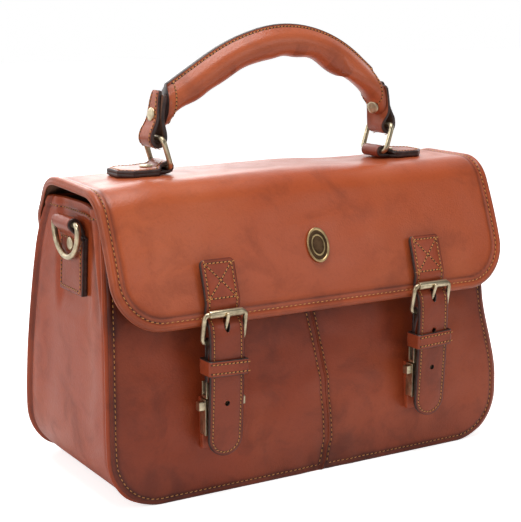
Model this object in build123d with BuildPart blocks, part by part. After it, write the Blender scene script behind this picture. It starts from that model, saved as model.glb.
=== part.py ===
from build123d import *
from math import asin, cos, degrees, hypot, radians, sin, sqrt
import os

os.makedirs("parts", exist_ok=True)

# Frame: millimetres, +Z up, +X to the bag's right seen from the front, the front faces -Y.
# The origin is on the floor under the middle of the whole bag.

# Bag body, seen from the side: the front leans back and the back curls over at the top
panel = 2.5
front_foot = -67
front_height = 205
front_radius = 1115
front_bend = degrees(asin(front_height / front_radius))
back_foot = 87
back_straight = 20
back_radius = 700
back_bend = 12.3
curl_radius = 111
curl_bend = 25.7
lean = back_bend + curl_bend

# Bag body, seen from the front
foot_half = 172
top_half = 165
widest_z = 55
outline_top = 230
corner_radius = 38
mouth_front = -38
gusset_top = 215
mouth_back = 40
centre_seam = 1.5
lining_thickness = 1
lining_short = 4
board_thickness = 2
board_corner = 6
board_length = 250
board_front = -58
board_back = 78

# Flap: over the top from the back, down over the front
flap_leather = 3
flap_half = 173.5
flap_bottom = 131
flap_corner = 38
back_shoulder = 36
crown_front = -25
front_shoulder = 24.7
front_turn = 65
drop_radius = 417
drop_turn = 12.4
hinge_gap = 4.5
tail_bottom = 178

# Straps and buckles
strap_x = 92.5
strap_width = 28
strap_leather = 3
seam_above_roller = 1.5
slot_length = 14
slot_width = 4.4
slot_up = 6.5
patch_top = 175
patch_corner = 4
roller_z = 140
roller_radius = 2.9
roller_bore = 1.82
roller_length = 27
wire = 1.75
pivot_y = -79.5
pivot_z = 119
frame_width = 33.5
frame_corner = 3
prong_radius = 1.3
prong_eye_wall = 1.5
prong_eye_half = 1.6
prong_past = 2.6
prong_play = 0.08
tip_z = 34
hole_radius = 2
hole_heights = (74, 104)
chape_width = 26
chape_leather = 2.1
chape_bottom = 80
chape_back = 2.4
chape_fold = 14
chape_slot_half = 2.2
chape_slot_below = 4.4
keeper_height = 11.5
keeper_leather = 2
keeper_play = 0.4
keeper_centre = {"left": 101, "right": 97}

# Clasps behind the strap ends
clasp_width = 29
plate = 1.6
plate_top = 90
plate_bottom = 78
tongue_width = 14
tongue_bottom = 56
tongue_half = 1.2
receiver_top = 76.8
receiver_bottom = 50
receiver_back = -71
receiver_front = -79.4
receiver_wall = 2
button_z = 72.2
button_height = 6.5
button_depth = 5.4
button_out = 19
button_in = 10
button_flange = 0.8
button_forward = 0.2
button_y = (receiver_front + receiver_back - plate) / 2 + button_forward
clasp_pad_bottom = 38
clasp_pad_top = 76

# Handle, rings and their leather bases
handle_y = 3.5
handle_x = 3.5
handle_z = 205
handle_radius = 121
grip_radius = 11
grip_inner = 8.5
core_radius = 8.4
core_short = 10
seam_reach = 14
seam_width = 4.5
ring_wire = 2
ring_width = 32
ring_corner = 4
ring_low = (97.4, 236)
ring_high = (104, 257.5)
slack = 0.3
loop_width = 21
loop_centre = (104.3, 257)
loop_tilt = 15
loop_length = 34
loop_outer = 7.2
loop_hole = 4.5
loop_throat = 11.5
loop_closed = 8.5
loop_closed_radius = 0.6
arch_start = 32
arch_sweep = 122
shank = 6
handle_rivet_up = 17
base_width = 32
base_neck = 23
base_outer_x = 145
base_neck_x = 105
base_leather = 2.6
base_chamfer = 9
base_rivet_x = 110

# D-rings on the sides
d_wire = 2.25
d_half = 21.5
d_corner = 3.5
d_straight = 0.5
d_bar_z = 200
d_stand_off = 9.2
d_tab_width = 40
d_loop_width = 30
d_tab_bottom = 148
d_plate_top = 194
d_loop_bottom = 190
d_loop_top = 203
d_rivet_z = 184
side_slope = (foot_half - top_half) / (outline_top - widest_z)

# Badge and rivets
badge_x = -3
badge_z = 177.5
badge_width = 20
badge_height = 27
badge_thickness = 1.6
badge_rim = 1.6
badge_recess = 0.6
badge_gap = 0.3
rivet_shank = 1.5
rivet_head = 5.2
rivet_head_height = 1.6
rivet_taper = 25
cap_thickness = 1

touch = 0.05
far = 260
sides = {"left": -1, "right": 1}

# Where the flap's inner face leaves the back of the bag
back_top_y = (
    back_foot
    - back_radius * (1 - cos(radians(back_bend)))
    - curl_radius * (cos(radians(back_bend)) - cos(radians(lean)))
)
back_top_z = (
    back_straight
    + back_radius * sin(radians(back_bend))
    + curl_radius * (sin(radians(lean)) - sin(radians(back_bend)))
)
crown_z = back_top_z + back_shoulder * (1 - sin(radians(lean)))
hinge_y = back_top_y + flap_leather / 2 * cos(radians(lean))
hinge_z = back_top_z + flap_leather / 2 * sin(radians(lean))
# Centre of the arc down the flap's front
drop_y = crown_front + (drop_radius - front_shoulder) * sin(radians(front_turn))
drop_z = crown_z - front_shoulder - (drop_radius - front_shoulder) * cos(radians(front_turn))


def flap_front(z, lift):
    # Y of the flap's drop at height z, lift outside its inner face
    return drop_y - sqrt((drop_radius + lift) ** 2 - (z - drop_z) ** 2)


strap_lift = flap_leather + touch
tail_lift = flap_leather + 1.4 * slack
roller_y = flap_front(roller_z, tail_lift + strap_leather) - slack - roller_radius
tail_front_y = pivot_y - wire - slack - chape_leather - strap_leather / 2 - 0.2
frame_height = hypot(roller_y - pivot_y, roller_z - pivot_z)
frame_lean = degrees(asin((pivot_y - roller_y) / frame_height))


def keep(builder, name):
    builder.part.label = name
    export_step(builder.part, f"parts/{name}.step")


def front_line(depth):
    # Curve of the front panel, depth inside its outer face
    return JernArc((front_foot + depth, 0), (0, 1), front_radius - depth, -front_bend)


def back_line(depth):
    # Curve of the back panel, depth inside its outer face
    foot = Line((back_foot - depth, 0), (back_foot - depth, back_straight))
    rise = JernArc(foot @ 1, (0, 1), back_radius - depth, back_bend)
    curl = JernArc(rise @ 1, rise % 1, curl_radius - depth, curl_bend)
    return foot, curl


def flap_line(lift):
    # Curve of the flap from the back of the mouth to the lower edge, lift outside its inner face
    start = (
        back_top_y + lift * cos(radians(lean)),
        back_top_z + lift * sin(radians(lean)),
    )
    heading = (-sin(radians(lean)), cos(radians(lean)))
    back = JernArc(start, heading, back_shoulder + lift, 90 - lean)
    crown = Line(back @ 1, (crown_front, (back @ 1).Y))
    front = JernArc(crown @ 1, crown % 1, front_shoulder + lift, front_turn)
    drop = JernArc(front @ 1, front % 1, drop_radius + lift, drop_turn)
    return back, drop


def body_face(depth):
    # The bag's side view, depth inside the front and back faces
    with BuildLine() as side_view:
        front = front_line(depth)
        foot, curl = back_line(depth)
        Line(front @ 0, foot @ 0)
        Polyline(front @ 1, (mouth_front, gusset_top), (mouth_back, gusset_top), curl @ 1)
    return side_view.edges()


def front_band(near, deep):
    with BuildLine() as band:
        outer = front_line(near)
        inner = front_line(deep)
        Line(outer @ 0, inner @ 0)
        Line(outer @ 1, inner @ 1)
    return band.edges()


def back_band(near, deep):
    with BuildLine() as band:
        outer_foot, outer_curl = back_line(near)
        inner_foot, inner_curl = back_line(deep)
        Line(outer_foot @ 0, inner_foot @ 0)
        Line(outer_curl @ 1, inner_curl @ 1)
    return band.edges()


def flap_band(low, high):
    with BuildLine() as band:
        inner_back, inner_drop = flap_line(low)
        outer_back, outer_drop = flap_line(high)
        Line(inner_back @ 0, outer_back @ 0)
        Line(inner_drop @ 1, outer_drop @ 1)
    return band.edges()


def body_outline(inset):
    # The bag's front view, inset inside its edge
    Polygon(
        (-top_half, outline_top),
        (-foot_half, widest_z),
        (-foot_half, 0),
        (foot_half, 0),
        (foot_half, widest_z),
        (top_half, outline_top),
        align=None,
    )
    fillet(vertices().group_by(Axis.Y)[0], corner_radius)
    if inset:
        offset(amount=-inset)


def two_rounds(first, first_radius, second, second_radius):
    # Two circles for a hull to run round
    with BuildLine() as rounds:
        CenterArc(first, first_radius, 0, 360)
        CenterArc(second, second_radius, 0, 360)
    return rounds.edges()


def block(x_range, y_range, z_range, mode=Mode.ADD):
    centre = [(a + b) / 2 for a, b in (x_range, y_range, z_range)]
    size = [abs(b - a) for a, b in (x_range, y_range, z_range)]
    with Locations(tuple(centre)):
        return Box(*size, mode=mode)


def side_x(z):
    # Half width of the gusset's outer face at height z
    return foot_half - side_slope * (z - widest_z)


def off_side(sign, distance, z):
    # A point in the front view, distance outside the gusset at height z
    return (sign * (side_x(z) + distance), z)


def side_rivet_plane(sign):
    # On the outer face of the D-ring tab, facing out
    face = side_x(d_rivet_z) + 2 * panel + touch
    return Plane(origin=(sign * face, handle_y, d_rivet_z), z_dir=(sign, 0, side_slope))


def up_loop(sign, distance):
    # A point in the front view on a handle loop's middle line, distance above its opening
    return (
        sign * (loop_centre[0] - distance * sin(radians(loop_tilt))),
        loop_centre[1] + distance * cos(radians(loop_tilt)),
    )


def loop_rivet_plane(sign):
    # On the outer face of a handle loop's shank, facing out
    out_x = sign * cos(radians(loop_tilt))
    out_z = sin(radians(loop_tilt))
    stand = shank / 2 + touch
    middle = up_loop(sign, handle_rivet_up)
    return Plane(
        origin=(middle[0] + stand * out_x, handle_y, middle[1] + stand * out_z),
        z_dir=(out_x, 0, out_z),
    )


# Front panel, in two halves sewn together down the middle
for side, keep_side in {"left": Keep.BOTTOM, "right": Keep.TOP}.items():
    with BuildPart() as front_panel:
        with BuildSketch(Plane.YZ):
            make_face(front_band(0, panel))
        extrude(amount=far, both=True)
        with BuildSketch(Plane.XZ):
            body_outline(0)
        extrude(amount=far, both=True, mode=Mode.INTERSECT)
        split(bisect_by=Plane.YZ.offset(centre_seam), keep=keep_side)
    keep(front_panel, f"front_panel_{side}")

with BuildPart() as back_panel:
    with BuildSketch(Plane.YZ):
        make_face(back_band(0, panel))
    extrude(amount=far, both=True)
    with BuildSketch(Plane.XZ):
        body_outline(0)
    extrude(amount=far, both=True, mode=Mode.INTERSECT)
keep(back_panel, "back_panel")

# Gusset: one strip up the left side, under the base and up the right side
with BuildPart() as gusset:
    with BuildSketch(Plane.YZ):
        make_face(body_face(panel))
    extrude(amount=far, both=True)
    with BuildSketch(Plane.XZ):
        body_outline(0)
    extrude(amount=far, both=True, mode=Mode.INTERSECT)
    with BuildSketch(Plane.XZ):
        body_outline(panel)
        with Locations((0, outline_top)):
            Rectangle(2 * (top_half - panel), 2 * panel)
    extrude(amount=far, both=True, mode=Mode.SUBTRACT)
    for sign in sides.values():
        with BuildSketch(side_rivet_plane(sign)):
            Circle(rivet_shank)
        extrude(amount=4 * panel, both=True, mode=Mode.SUBTRACT)
keep(gusset, "gusset")

# Lining: a thin open-topped bag against the inside of the leather
with BuildPart() as hollow:
    with BuildSketch(Plane.YZ):
        make_face(body_face(panel + touch + lining_thickness))
    extrude(amount=far, both=True)
    with BuildSketch(Plane.XZ):
        body_outline(panel + touch + lining_thickness)
    extrude(amount=far, both=True, mode=Mode.INTERSECT)

with BuildPart() as lining:
    with BuildSketch(Plane.YZ):
        make_face(body_face(panel + touch))
    extrude(amount=far, both=True)
    with BuildSketch(Plane.XZ):
        body_outline(panel + touch)
    extrude(amount=far, both=True, mode=Mode.INTERSECT)
    add(hollow.part, mode=Mode.SUBTRACT)
    block((-far, far), (-far, far), (front_height - lining_short, far), mode=Mode.SUBTRACT)
keep(lining, "lining")

with BuildPart() as base_board:
    board_z = panel + lining_thickness + 2 * touch
    with BuildSketch(Plane.XY.offset(board_z)):
        with Locations((0, (board_front + board_back) / 2)):
            RectangleRounded(board_length, board_back - board_front, board_corner)
    extrude(amount=board_thickness)
keep(base_board, "base_board")

# Flap, free of the bag at a line across the back of the mouth
with BuildPart() as flap:
    with BuildSketch(Plane.YZ):
        make_face(flap_band(0, flap_leather))
    extrude(amount=far, both=True)
    with BuildSketch(Plane.XZ):
        with BuildLine():
            Polyline(
                (-flap_half, far),
                (-flap_half, flap_bottom),
                (flap_half, flap_bottom),
                (flap_half, far),
                close=True,
            )
        make_face()
        fillet(vertices().group_by(Axis.Y)[0], flap_corner)
    extrude(amount=far, both=True, mode=Mode.INTERSECT)
    with Locations((0, hinge_y, hinge_z)):
        Cylinder(hinge_gap, 2 * far, rotation=(0, 90, 0), mode=Mode.SUBTRACT)
    with Locations((-base_rivet_x, handle_y, crown_z), (base_rivet_x, handle_y, crown_z)):
        Cylinder(rivet_shank, 4 * flap_leather, mode=Mode.SUBTRACT)
keep(flap, "flap")

# The same leather below the bend, sewn to the back panel
with BuildPart() as flap_tail:
    with BuildSketch(Plane.YZ):
        make_face(back_band(-flap_leather, -touch))
    extrude(amount=flap_half, both=True)
    block((-far, far), (-far, far), (-far, tail_bottom), mode=Mode.SUBTRACT)
    with Locations((0, hinge_y, hinge_z)):
        Cylinder(hinge_gap, 2 * far, rotation=(0, 90, 0), mode=Mode.SUBTRACT)
keep(flap_tail, "flap_tail")

# Badge: a plain oval plate with a raised rim
with BuildPart() as badge:
    badge_y = flap_front(badge_z, flap_leather) - touch
    badge_lean = degrees(asin((badge_z - drop_z) / (drop_radius + flap_leather)))
    badge_plane = Plane(
        origin=(badge_x, badge_y, badge_z),
        x_dir=(1, 0, 0),
        z_dir=(0, -cos(radians(badge_lean)), sin(radians(badge_lean))),
    )
    with BuildSketch(badge_plane.offset(badge_gap)):
        Ellipse(badge_width / 2, badge_height / 2)
    extrude(amount=badge_thickness)
    with BuildSketch(badge_plane.offset(badge_gap + badge_thickness - badge_recess)):
        Ellipse(badge_width / 2 - badge_rim, badge_height / 2 - badge_rim)
    extrude(amount=badge_thickness, mode=Mode.SUBTRACT)
keep(badge, "badge")

for side, sign in sides.items():
    strap_plane = Plane.YZ.offset(sign * strap_x)

    # Upper end of the strap, sewn to the flap with a boxed cross
    with BuildPart() as strap_upper:
        with BuildSketch(strap_plane):
            make_face(flap_band(strap_lift, strap_lift + strap_leather))
        extrude(amount=strap_width / 2, both=True)
        with BuildSketch(Plane.XZ):
            with Locations((sign * strap_x, (patch_top + roller_z + seam_above_roller) / 2)):
                Rectangle(strap_width, patch_top - roller_z - seam_above_roller)
            fillet(vertices().group_by(Axis.Y)[-1], patch_corner)
        extrude(amount=far, both=True, mode=Mode.INTERSECT)
    keep(strap_upper, f"strap_upper_{side}")

    # The rest of the strap: behind the roller, over the pivot bar and down to the tip
    with BuildPart() as strap_tail:
        with BuildSketch(strap_plane):
            with BuildLine():
                Spline(
                    (roller_y + roller_radius + slack + strap_leather / 2, roller_z - 1),
                    (pivot_y - 1.6, pivot_z + 12),
                    (tail_front_y, pivot_z),
                    (tail_front_y, 104),
                    (pivot_y - 3.6, 74),
                    (pivot_y - 1, tip_z),
                )
            trace(line_width=strap_leather)
        extrude(amount=strap_width / 2, both=True)
        with BuildSketch(Plane.XZ):
            with Locations((sign * strap_x, (roller_z + 10 + tip_z) / 2)):
                Rectangle(strap_width, roller_z + 10 - tip_z)
            fillet(vertices().group_by(Axis.Y)[0], strap_width / 2 - 0.5)
        extrude(amount=far, both=True, mode=Mode.INTERSECT)
        with BuildSketch(Plane.XZ):
            with Locations(*[(sign * strap_x, z) for z in hole_heights]):
                Circle(hole_radius)
            with Locations((sign * strap_x, pivot_z + slot_up)):
                SlotOverall(slot_length, slot_width, rotation=90)
        extrude(amount=far, both=True, mode=Mode.SUBTRACT)
    keep(strap_tail, f"strap_tail_{side}")

    buckle_plane = Plane(
        origin=(sign * strap_x, (roller_y + pivot_y) / 2, (roller_z + pivot_z) / 2),
        x_dir=(1, 0, 0),
        z_dir=(0, -cos(radians(frame_lean)), -sin(radians(frame_lean))),
    )
    with BuildPart() as buckle_frame:
        with BuildLine(buckle_plane) as frame_path:
            FilletPolyline(
                (frame_width / 2, frame_height / 2),
                (frame_width / 2, -frame_height / 2),
                (-frame_width / 2, -frame_height / 2),
                (-frame_width / 2, frame_height / 2),
                radius=frame_corner,
                close=True,
            )
        with BuildSketch(Plane(origin=frame_path.line @ 0, z_dir=frame_path.line % 0)):
            Circle(wire)
        sweep()
    keep(buckle_frame, f"buckle_frame_{side}")

    with BuildPart() as buckle_roller:
        with BuildSketch(Plane.YZ.offset(sign * strap_x)):
            with Locations((roller_y, roller_z)):
                Circle(roller_radius)
                Circle(roller_bore, mode=Mode.SUBTRACT)
        extrude(amount=roller_length / 2, both=True)
    keep(buckle_roller, f"buckle_roller_{side}")

    # Prong: an eye round the pivot bar and a straight pin that rests on the roller
    prong_lean = frame_lean + degrees(asin((roller_radius + prong_radius + 2 * touch) / frame_height))
    with BuildPart() as buckle_prong:
        with BuildSketch(Plane.YZ.offset(sign * strap_x)):
            with Locations((pivot_y, pivot_z)):
                Circle(wire + prong_eye_wall)
        extrude(amount=prong_eye_half, both=True)
        with BuildSketch(
            Plane(
                origin=(sign * strap_x, pivot_y, pivot_z),
                z_dir=(0, -sin(radians(prong_lean)), cos(radians(prong_lean))),
            )
        ):
            Circle(prong_radius)
        extrude(amount=frame_height + prong_past)
        fillet(edges().filter_by(GeomType.CIRCLE).sort_by(Axis.Z)[-1], prong_radius / 2)
        with BuildSketch(Plane.YZ.offset(sign * strap_x)):
            with Locations((pivot_y, pivot_z)):
                Circle(wire + prong_play)
        extrude(amount=far, both=True, mode=Mode.SUBTRACT)
    keep(buckle_prong, f"buckle_prong_{side}")

    # Chape: leather folded round the pivot bar, both layers running down into the clasp
    chape_y = pivot_y + chape_back
    with BuildPart() as chape:
        with BuildSketch(strap_plane):
            fold = wire + slack + chape_leather
            neck = (chape_y, pivot_z - chape_fold)
            make_hull(two_rounds((pivot_y, pivot_z), fold, neck, chape_leather))
            with Locations((chape_y, (chape_bottom + pivot_z - chape_fold + 2) / 2)):
                Rectangle(2 * chape_leather, pivot_z - chape_fold + 2 - chape_bottom)
            with Locations((pivot_y, pivot_z)):
                Circle(wire + slack, mode=Mode.SUBTRACT)
        extrude(amount=chape_width / 2, both=True)
        block(
            (sign * strap_x - chape_slot_half, sign * strap_x + chape_slot_half),
            (pivot_y - chape_fold, pivot_y + chape_fold),
            (pivot_z - chape_slot_below, pivot_z + chape_fold),
            mode=Mode.SUBTRACT,
        )
    keep(chape, f"chape_{side}")

    # Keeper: a loop round the strap and the chape
    keeper_back = chape_y + chape_leather + keeper_play
    keeper_front = tail_front_y - strap_leather / 2 - 1.5 * keeper_play
    with BuildPart() as keeper:
        with BuildSketch(Plane.XY.offset(keeper_centre[side] - keeper_height / 2)):
            with Locations((sign * strap_x, (keeper_back + keeper_front) / 2)):
                RectangleRounded(
                    strap_width + 2 * keeper_play + 2 * keeper_leather,
                    keeper_back - keeper_front + 2 * keeper_leather,
                    keeper_leather,
                )
                Rectangle(
                    strap_width + 2 * keeper_play,
                    keeper_back - keeper_front,
                    mode=Mode.SUBTRACT,
                )
        extrude(amount=keeper_height)
    keep(keeper, f"keeper_{side}")

    # Clasp tongue: two plates that grip the chape, and the blade that the receiver holds
    x_mid = sign * strap_x
    grip_front = chape_y - chape_leather
    grip_back = chape_y + chape_leather
    plate_x = (x_mid - clasp_width / 2, x_mid + clasp_width / 2)
    with BuildPart() as clasp_tongue:
        block(plate_x, (grip_front - plate, grip_front), (plate_bottom, plate_top))
        block(plate_x, (grip_back, grip_back + plate), (plate_bottom, plate_top))
        block(plate_x, (grip_front - plate, grip_back + plate), (plate_bottom, chape_bottom))
        block(
            (x_mid - tongue_width / 2, x_mid + tongue_width / 2),
            (chape_y - tongue_half, chape_y + tongue_half),
            (tongue_bottom, plate_bottom + plate),
        )
    keep(clasp_tongue, f"clasp_tongue_{side}")

    # Clasp receiver: a channel open at the front and the top, with a button in each wall
    inner_half = clasp_width / 2 - receiver_wall
    with BuildPart() as clasp_receiver:
        block(plate_x, (receiver_front, receiver_back), (receiver_bottom, receiver_top))
        block(
            (x_mid - inner_half, x_mid + inner_half),
            (receiver_front - plate, receiver_back - plate),
            (receiver_bottom + receiver_wall, receiver_top + plate),
            mode=Mode.SUBTRACT,
        )
        with Locations((x_mid, button_y, button_z)):
            Box(far, button_depth + slack, button_height + slack, mode=Mode.SUBTRACT)
    keep(clasp_receiver, f"clasp_receiver_{side}")

    # The leather pad that carries the receiver on the front panel
    with BuildPart() as clasp_pad:
        with BuildSketch(strap_plane):
            with BuildLine():
                face_line = front_line(-touch)
                Polyline(
                    face_line @ 0,
                    (receiver_back + touch, 0),
                    (receiver_back + touch, front_height),
                    face_line @ 1,
                )
            make_face()
        extrude(amount=clasp_width / 2 - receiver_wall, both=True)
        block((-far, far), (-far, far), (-far, clasp_pad_bottom), mode=Mode.SUBTRACT)
        block((-far, far), (-far, far), (clasp_pad_top, far), mode=Mode.SUBTRACT)
    keep(clasp_pad, f"clasp_pad_{side}")

    for place, way in {"outer": sign, "inner": -sign}.items():
        flange_end = inner_half - slack
        with BuildPart() as clasp_button:
            with BuildSketch(Plane.YZ.offset(x_mid + way * button_in)):
                with Locations((button_y, button_z)):
                    RectangleRounded(
                        button_depth + button_flange,
                        button_height + 2 * button_flange,
                        button_flange,
                    )
            extrude(amount=way * (flange_end - button_in))
            with BuildSketch(Plane.YZ.offset(x_mid + way * button_in)):
                with Locations((button_y, button_z)):
                    RectangleRounded(button_depth, button_height, button_flange)
            extrude(amount=way * (button_out - button_in))
        keep(clasp_button, f"clasp_button_{side}_{place}")


def along_grip(section, short):
    # A section swept along the arch of the handle, cut off short of the two loops
    with BuildPart() as piece:
        with BuildLine(Plane.XZ.offset(-handle_y)) as arch:
            CenterArc((handle_x, handle_z), handle_radius, arch_start, arch_sweep)
        with BuildSketch(Plane(origin=arch.line @ 0, x_dir=(0, 1, 0), z_dir=arch.line % 0)):
            add(section)
        sweep(path=arch.line)
        for sign in sides.values():
            room = shank / 2 + short
            cut = (
                sign * (loop_centre[0] - room * cos(radians(loop_tilt))),
                handle_y,
                loop_centre[1] - room * sin(radians(loop_tilt)),
            )
            inward = (-sign * cos(radians(loop_tilt)), 0, -sin(radians(loop_tilt)))
            split(bisect_by=Plane(origin=cut, z_dir=inward), keep=Keep.TOP)
            with BuildSketch(Plane.XZ.offset(-handle_y)):
                bulge = loop_outer + short
                make_hull(two_rounds(up_loop(sign, 0), bulge, up_loop(sign, loop_throat), room))
            extrude(amount=far, both=True, mode=Mode.SUBTRACT)
    return piece


# Handle: a padded grip whose two leather edges are sewn into a raised seam along the top
with BuildSketch() as grip_section:
    Circle(grip_radius)
    with Locations((0, -seam_reach / 2)):
        Rectangle(seam_width, seam_reach)
    Circle(grip_inner, mode=Mode.SUBTRACT)
handle_grip = along_grip(grip_section.sketch, 2 * touch)
keep(handle_grip, "handle_grip")

handle_core = along_grip(Circle(core_radius), core_short)
keep(handle_core, "handle_core")

for side, sign in sides.items():
    # Handle loop: a strip folded round the ring, its two ends running up to the grip
    with BuildPart() as handle_loop:
        with BuildSketch(Plane.XZ.offset(-handle_y)):
            eye = up_loop(sign, 0)
            throat = up_loop(sign, loop_throat)
            tip = up_loop(sign, loop_length)
            closed = up_loop(sign, loop_closed)
            make_hull(two_rounds(eye, loop_outer, throat, shank / 2))
            make_hull(two_rounds(throat, shank / 2, tip, shank / 2))
            opening = two_rounds(eye, loop_hole, closed, loop_closed_radius)
            make_hull(opening, mode=Mode.SUBTRACT)
        extrude(amount=loop_width / 2, both=True)
        with BuildSketch(loop_rivet_plane(sign)):
            Circle(rivet_shank)
        extrude(amount=2 * shank, both=True, mode=Mode.SUBTRACT)
    keep(handle_loop, f"handle_loop_{side}")

    # Ring: lies between the leather base and the handle loop, leaning outward
    ring_middle = (
        sign * (ring_low[0] + ring_high[0]) / 2,
        handle_y,
        (ring_low[1] + ring_high[1]) / 2,
    )
    ring_up = (sign * (ring_high[0] - ring_low[0]), 0, ring_high[1] - ring_low[1])
    ring_height = hypot(ring_up[0], ring_up[2])
    ring_plane = Plane(
        origin=ring_middle,
        x_dir=(0, 1, 0),
        z_dir=(ring_up[2], 0, -ring_up[0]),
    )
    with BuildPart() as handle_ring:
        with BuildLine(ring_plane) as ring_path:
            FilletPolyline(
                (ring_width / 2, ring_height / 2),
                (ring_width / 2, -ring_height / 2),
                (-ring_width / 2, -ring_height / 2),
                (-ring_width / 2, ring_height / 2),
                radius=ring_corner,
                close=True,
            )
        with BuildSketch(Plane(origin=ring_path.line @ 0, z_dir=ring_path.line % 0)):
            Circle(ring_wire)
        sweep()
    keep(handle_ring, f"handle_ring_{side}")

    # Base: a strip folded round the ring's lower bar, both layers riveted to the flap
    base_low = crown_z + flap_leather + touch
    base_outline = [
        (sign * base_outer_x, -base_width / 2 + base_chamfer),
        (sign * (base_outer_x - base_chamfer), -base_width / 2),
        (sign * base_neck_x, -base_width / 2),
        (sign * base_neck_x, base_width / 2),
        (sign * (base_outer_x - base_chamfer), base_width / 2),
        (sign * base_outer_x, base_width / 2 - base_chamfer),
    ]
    fold = ring_wire + slack + base_leather
    with BuildPart() as handle_base:
        with BuildSketch(Plane.XY.offset(base_low)):
            with Locations((0, handle_y)):
                Polygon(*base_outline, align=None)
        extrude(amount=2 * base_leather)
        with BuildSketch(Plane.XZ.offset(-handle_y)):
            with Locations((sign * ring_low[0], ring_low[1])):
                Circle(fold)
            with Locations((sign * (ring_low[0] + base_neck_x) / 2, base_low + base_leather)):
                Rectangle(base_neck_x - ring_low[0], 2 * base_leather)
            with Locations((sign * ring_low[0], ring_low[1])):
                Circle(ring_wire + slack, mode=Mode.SUBTRACT)
        extrude(amount=base_neck / 2, both=True)
        with Locations((sign * base_rivet_x, handle_y, base_low)):
            Cylinder(rivet_shank, 8 * base_leather, mode=Mode.SUBTRACT)
    keep(handle_base, f"handle_base_{side}")

    # D-ring: a straight bar on top, a half circle below
    d_x = sign * (side_x(d_bar_z) + d_stand_off)
    with BuildPart() as d_ring:
        d_plane = Plane(origin=(d_x, handle_y, d_bar_z), x_dir=(0, 1, 0), z_dir=(1, 0, 0))
        with BuildLine(d_plane) as d_path:
            FilletPolyline(
                (0, 0),
                (d_half, 0),
                (d_half, -d_corner - d_straight),
                radius=d_corner,
            )
            CenterArc((0, -d_corner - d_straight), d_half, 0, -180)
            FilletPolyline(
                (-d_half, -d_corner - d_straight),
                (-d_half, 0),
                (0, 0),
                radius=d_corner,
            )
        with BuildSketch(Plane(origin=d_path.line @ 0, z_dir=d_path.line % 0)):
            Circle(d_wire)
        sweep()
    keep(d_ring, f"d_ring_{side}")

    # Its leather tab, folded round the bar and sewn to the gusset in two layers
    d_fold = d_wire + slack + panel
    with BuildPart() as d_ring_tab:
        with BuildSketch(Plane.XZ.offset(-handle_y)):
            Polygon(
                off_side(sign, touch, d_tab_bottom),
                off_side(sign, 2 * panel, d_tab_bottom),
                off_side(sign, 2 * panel, d_plate_top),
                off_side(sign, touch, d_plate_top),
                align=None,
            )
        extrude(amount=d_tab_width / 2, both=True)
        with BuildSketch(Plane.XZ.offset(-handle_y)):
            with BuildLine() as fold_edges:
                CenterArc((d_x, d_bar_z), d_fold, 0, 360)
                Polyline(
                    off_side(sign, touch, d_loop_bottom),
                    off_side(sign, 2 * panel, d_loop_bottom),
                    off_side(sign, 2 * panel, d_loop_top),
                    off_side(sign, touch, d_loop_top),
                    close=True,
                )
            make_hull(fold_edges.edges())
            with Locations((d_x, d_bar_z)):
                Circle(d_wire + slack, mode=Mode.SUBTRACT)
        extrude(amount=d_loop_width / 2, both=True)
        with BuildSketch(side_rivet_plane(sign)):
            Circle(rivet_shank)
        extrude(amount=6 * panel, both=True, mode=Mode.SUBTRACT)
    keep(d_ring_tab, f"d_ring_tab_{side}")


def rivet(face, length, cap):
    # A flat head standing on a plane, its shank running back through the leather
    with BuildPart() as piece:
        with BuildSketch(face):
            Circle(rivet_head)
        extrude(amount=rivet_head_height, taper=rivet_taper)
        with BuildSketch(face):
            Circle(rivet_shank - touch)
        extrude(amount=-length)
        if cap:
            with BuildSketch(face.offset(-length)):
                Circle(rivet_head - cap_thickness)
            extrude(amount=-cap_thickness)
    return piece.part


base_top = crown_z + flap_leather + touch + 2 * base_leather
base_rivets = [
    rivet(
        Plane(origin=(sign * base_rivet_x, handle_y, base_top + touch)),
        base_top + 2 * touch - crown_z,
        True,
    )
    for sign in sides.values()
]
loop_rivets = [rivet(loop_rivet_plane(sign), shank, False) for sign in sides.values()]
tab_rivets = [rivet(side_rivet_plane(sign), 3 * panel, False) for sign in sides.values()]

with BuildPart() as handle_base_rivets:
    add(base_rivets)
keep(handle_base_rivets, "handle_base_rivets")

with BuildPart() as handle_rivets:
    add(loop_rivets)
keep(handle_rivets, "handle_rivets")

with BuildPart() as d_ring_rivets:
    add(tab_rivets)
keep(d_ring_rivets, "d_ring_rivets")

print("flap hinge", round(hinge_y, 2), round(hinge_z, 2))
print("strap hinge", round(roller_y, 2), roller_z)
print("buckle pivot", pivot_y, pivot_z)
print("crown", round(crown_z + flap_leather, 2), "D-ring bar", round(d_x, 2), d_bar_z)
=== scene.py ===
import bmesh
import bpy
import math
import numpy as np
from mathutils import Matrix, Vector


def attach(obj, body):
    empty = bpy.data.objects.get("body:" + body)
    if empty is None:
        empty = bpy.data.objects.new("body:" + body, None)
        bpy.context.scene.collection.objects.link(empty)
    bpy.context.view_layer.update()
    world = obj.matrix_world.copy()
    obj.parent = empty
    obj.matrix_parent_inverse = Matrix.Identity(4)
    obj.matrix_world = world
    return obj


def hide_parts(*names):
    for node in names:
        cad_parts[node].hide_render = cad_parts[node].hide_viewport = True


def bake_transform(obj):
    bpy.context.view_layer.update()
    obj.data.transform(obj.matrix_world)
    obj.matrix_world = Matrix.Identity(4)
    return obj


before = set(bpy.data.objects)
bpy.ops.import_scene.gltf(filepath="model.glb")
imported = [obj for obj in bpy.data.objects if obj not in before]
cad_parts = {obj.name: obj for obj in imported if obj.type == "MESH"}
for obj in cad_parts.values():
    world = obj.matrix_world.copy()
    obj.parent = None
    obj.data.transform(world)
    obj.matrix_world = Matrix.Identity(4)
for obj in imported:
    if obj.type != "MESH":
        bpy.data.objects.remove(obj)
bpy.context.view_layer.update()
rad = math.radians
sides = {"left": -1, "right": 1}
print("frame loaded")

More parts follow.
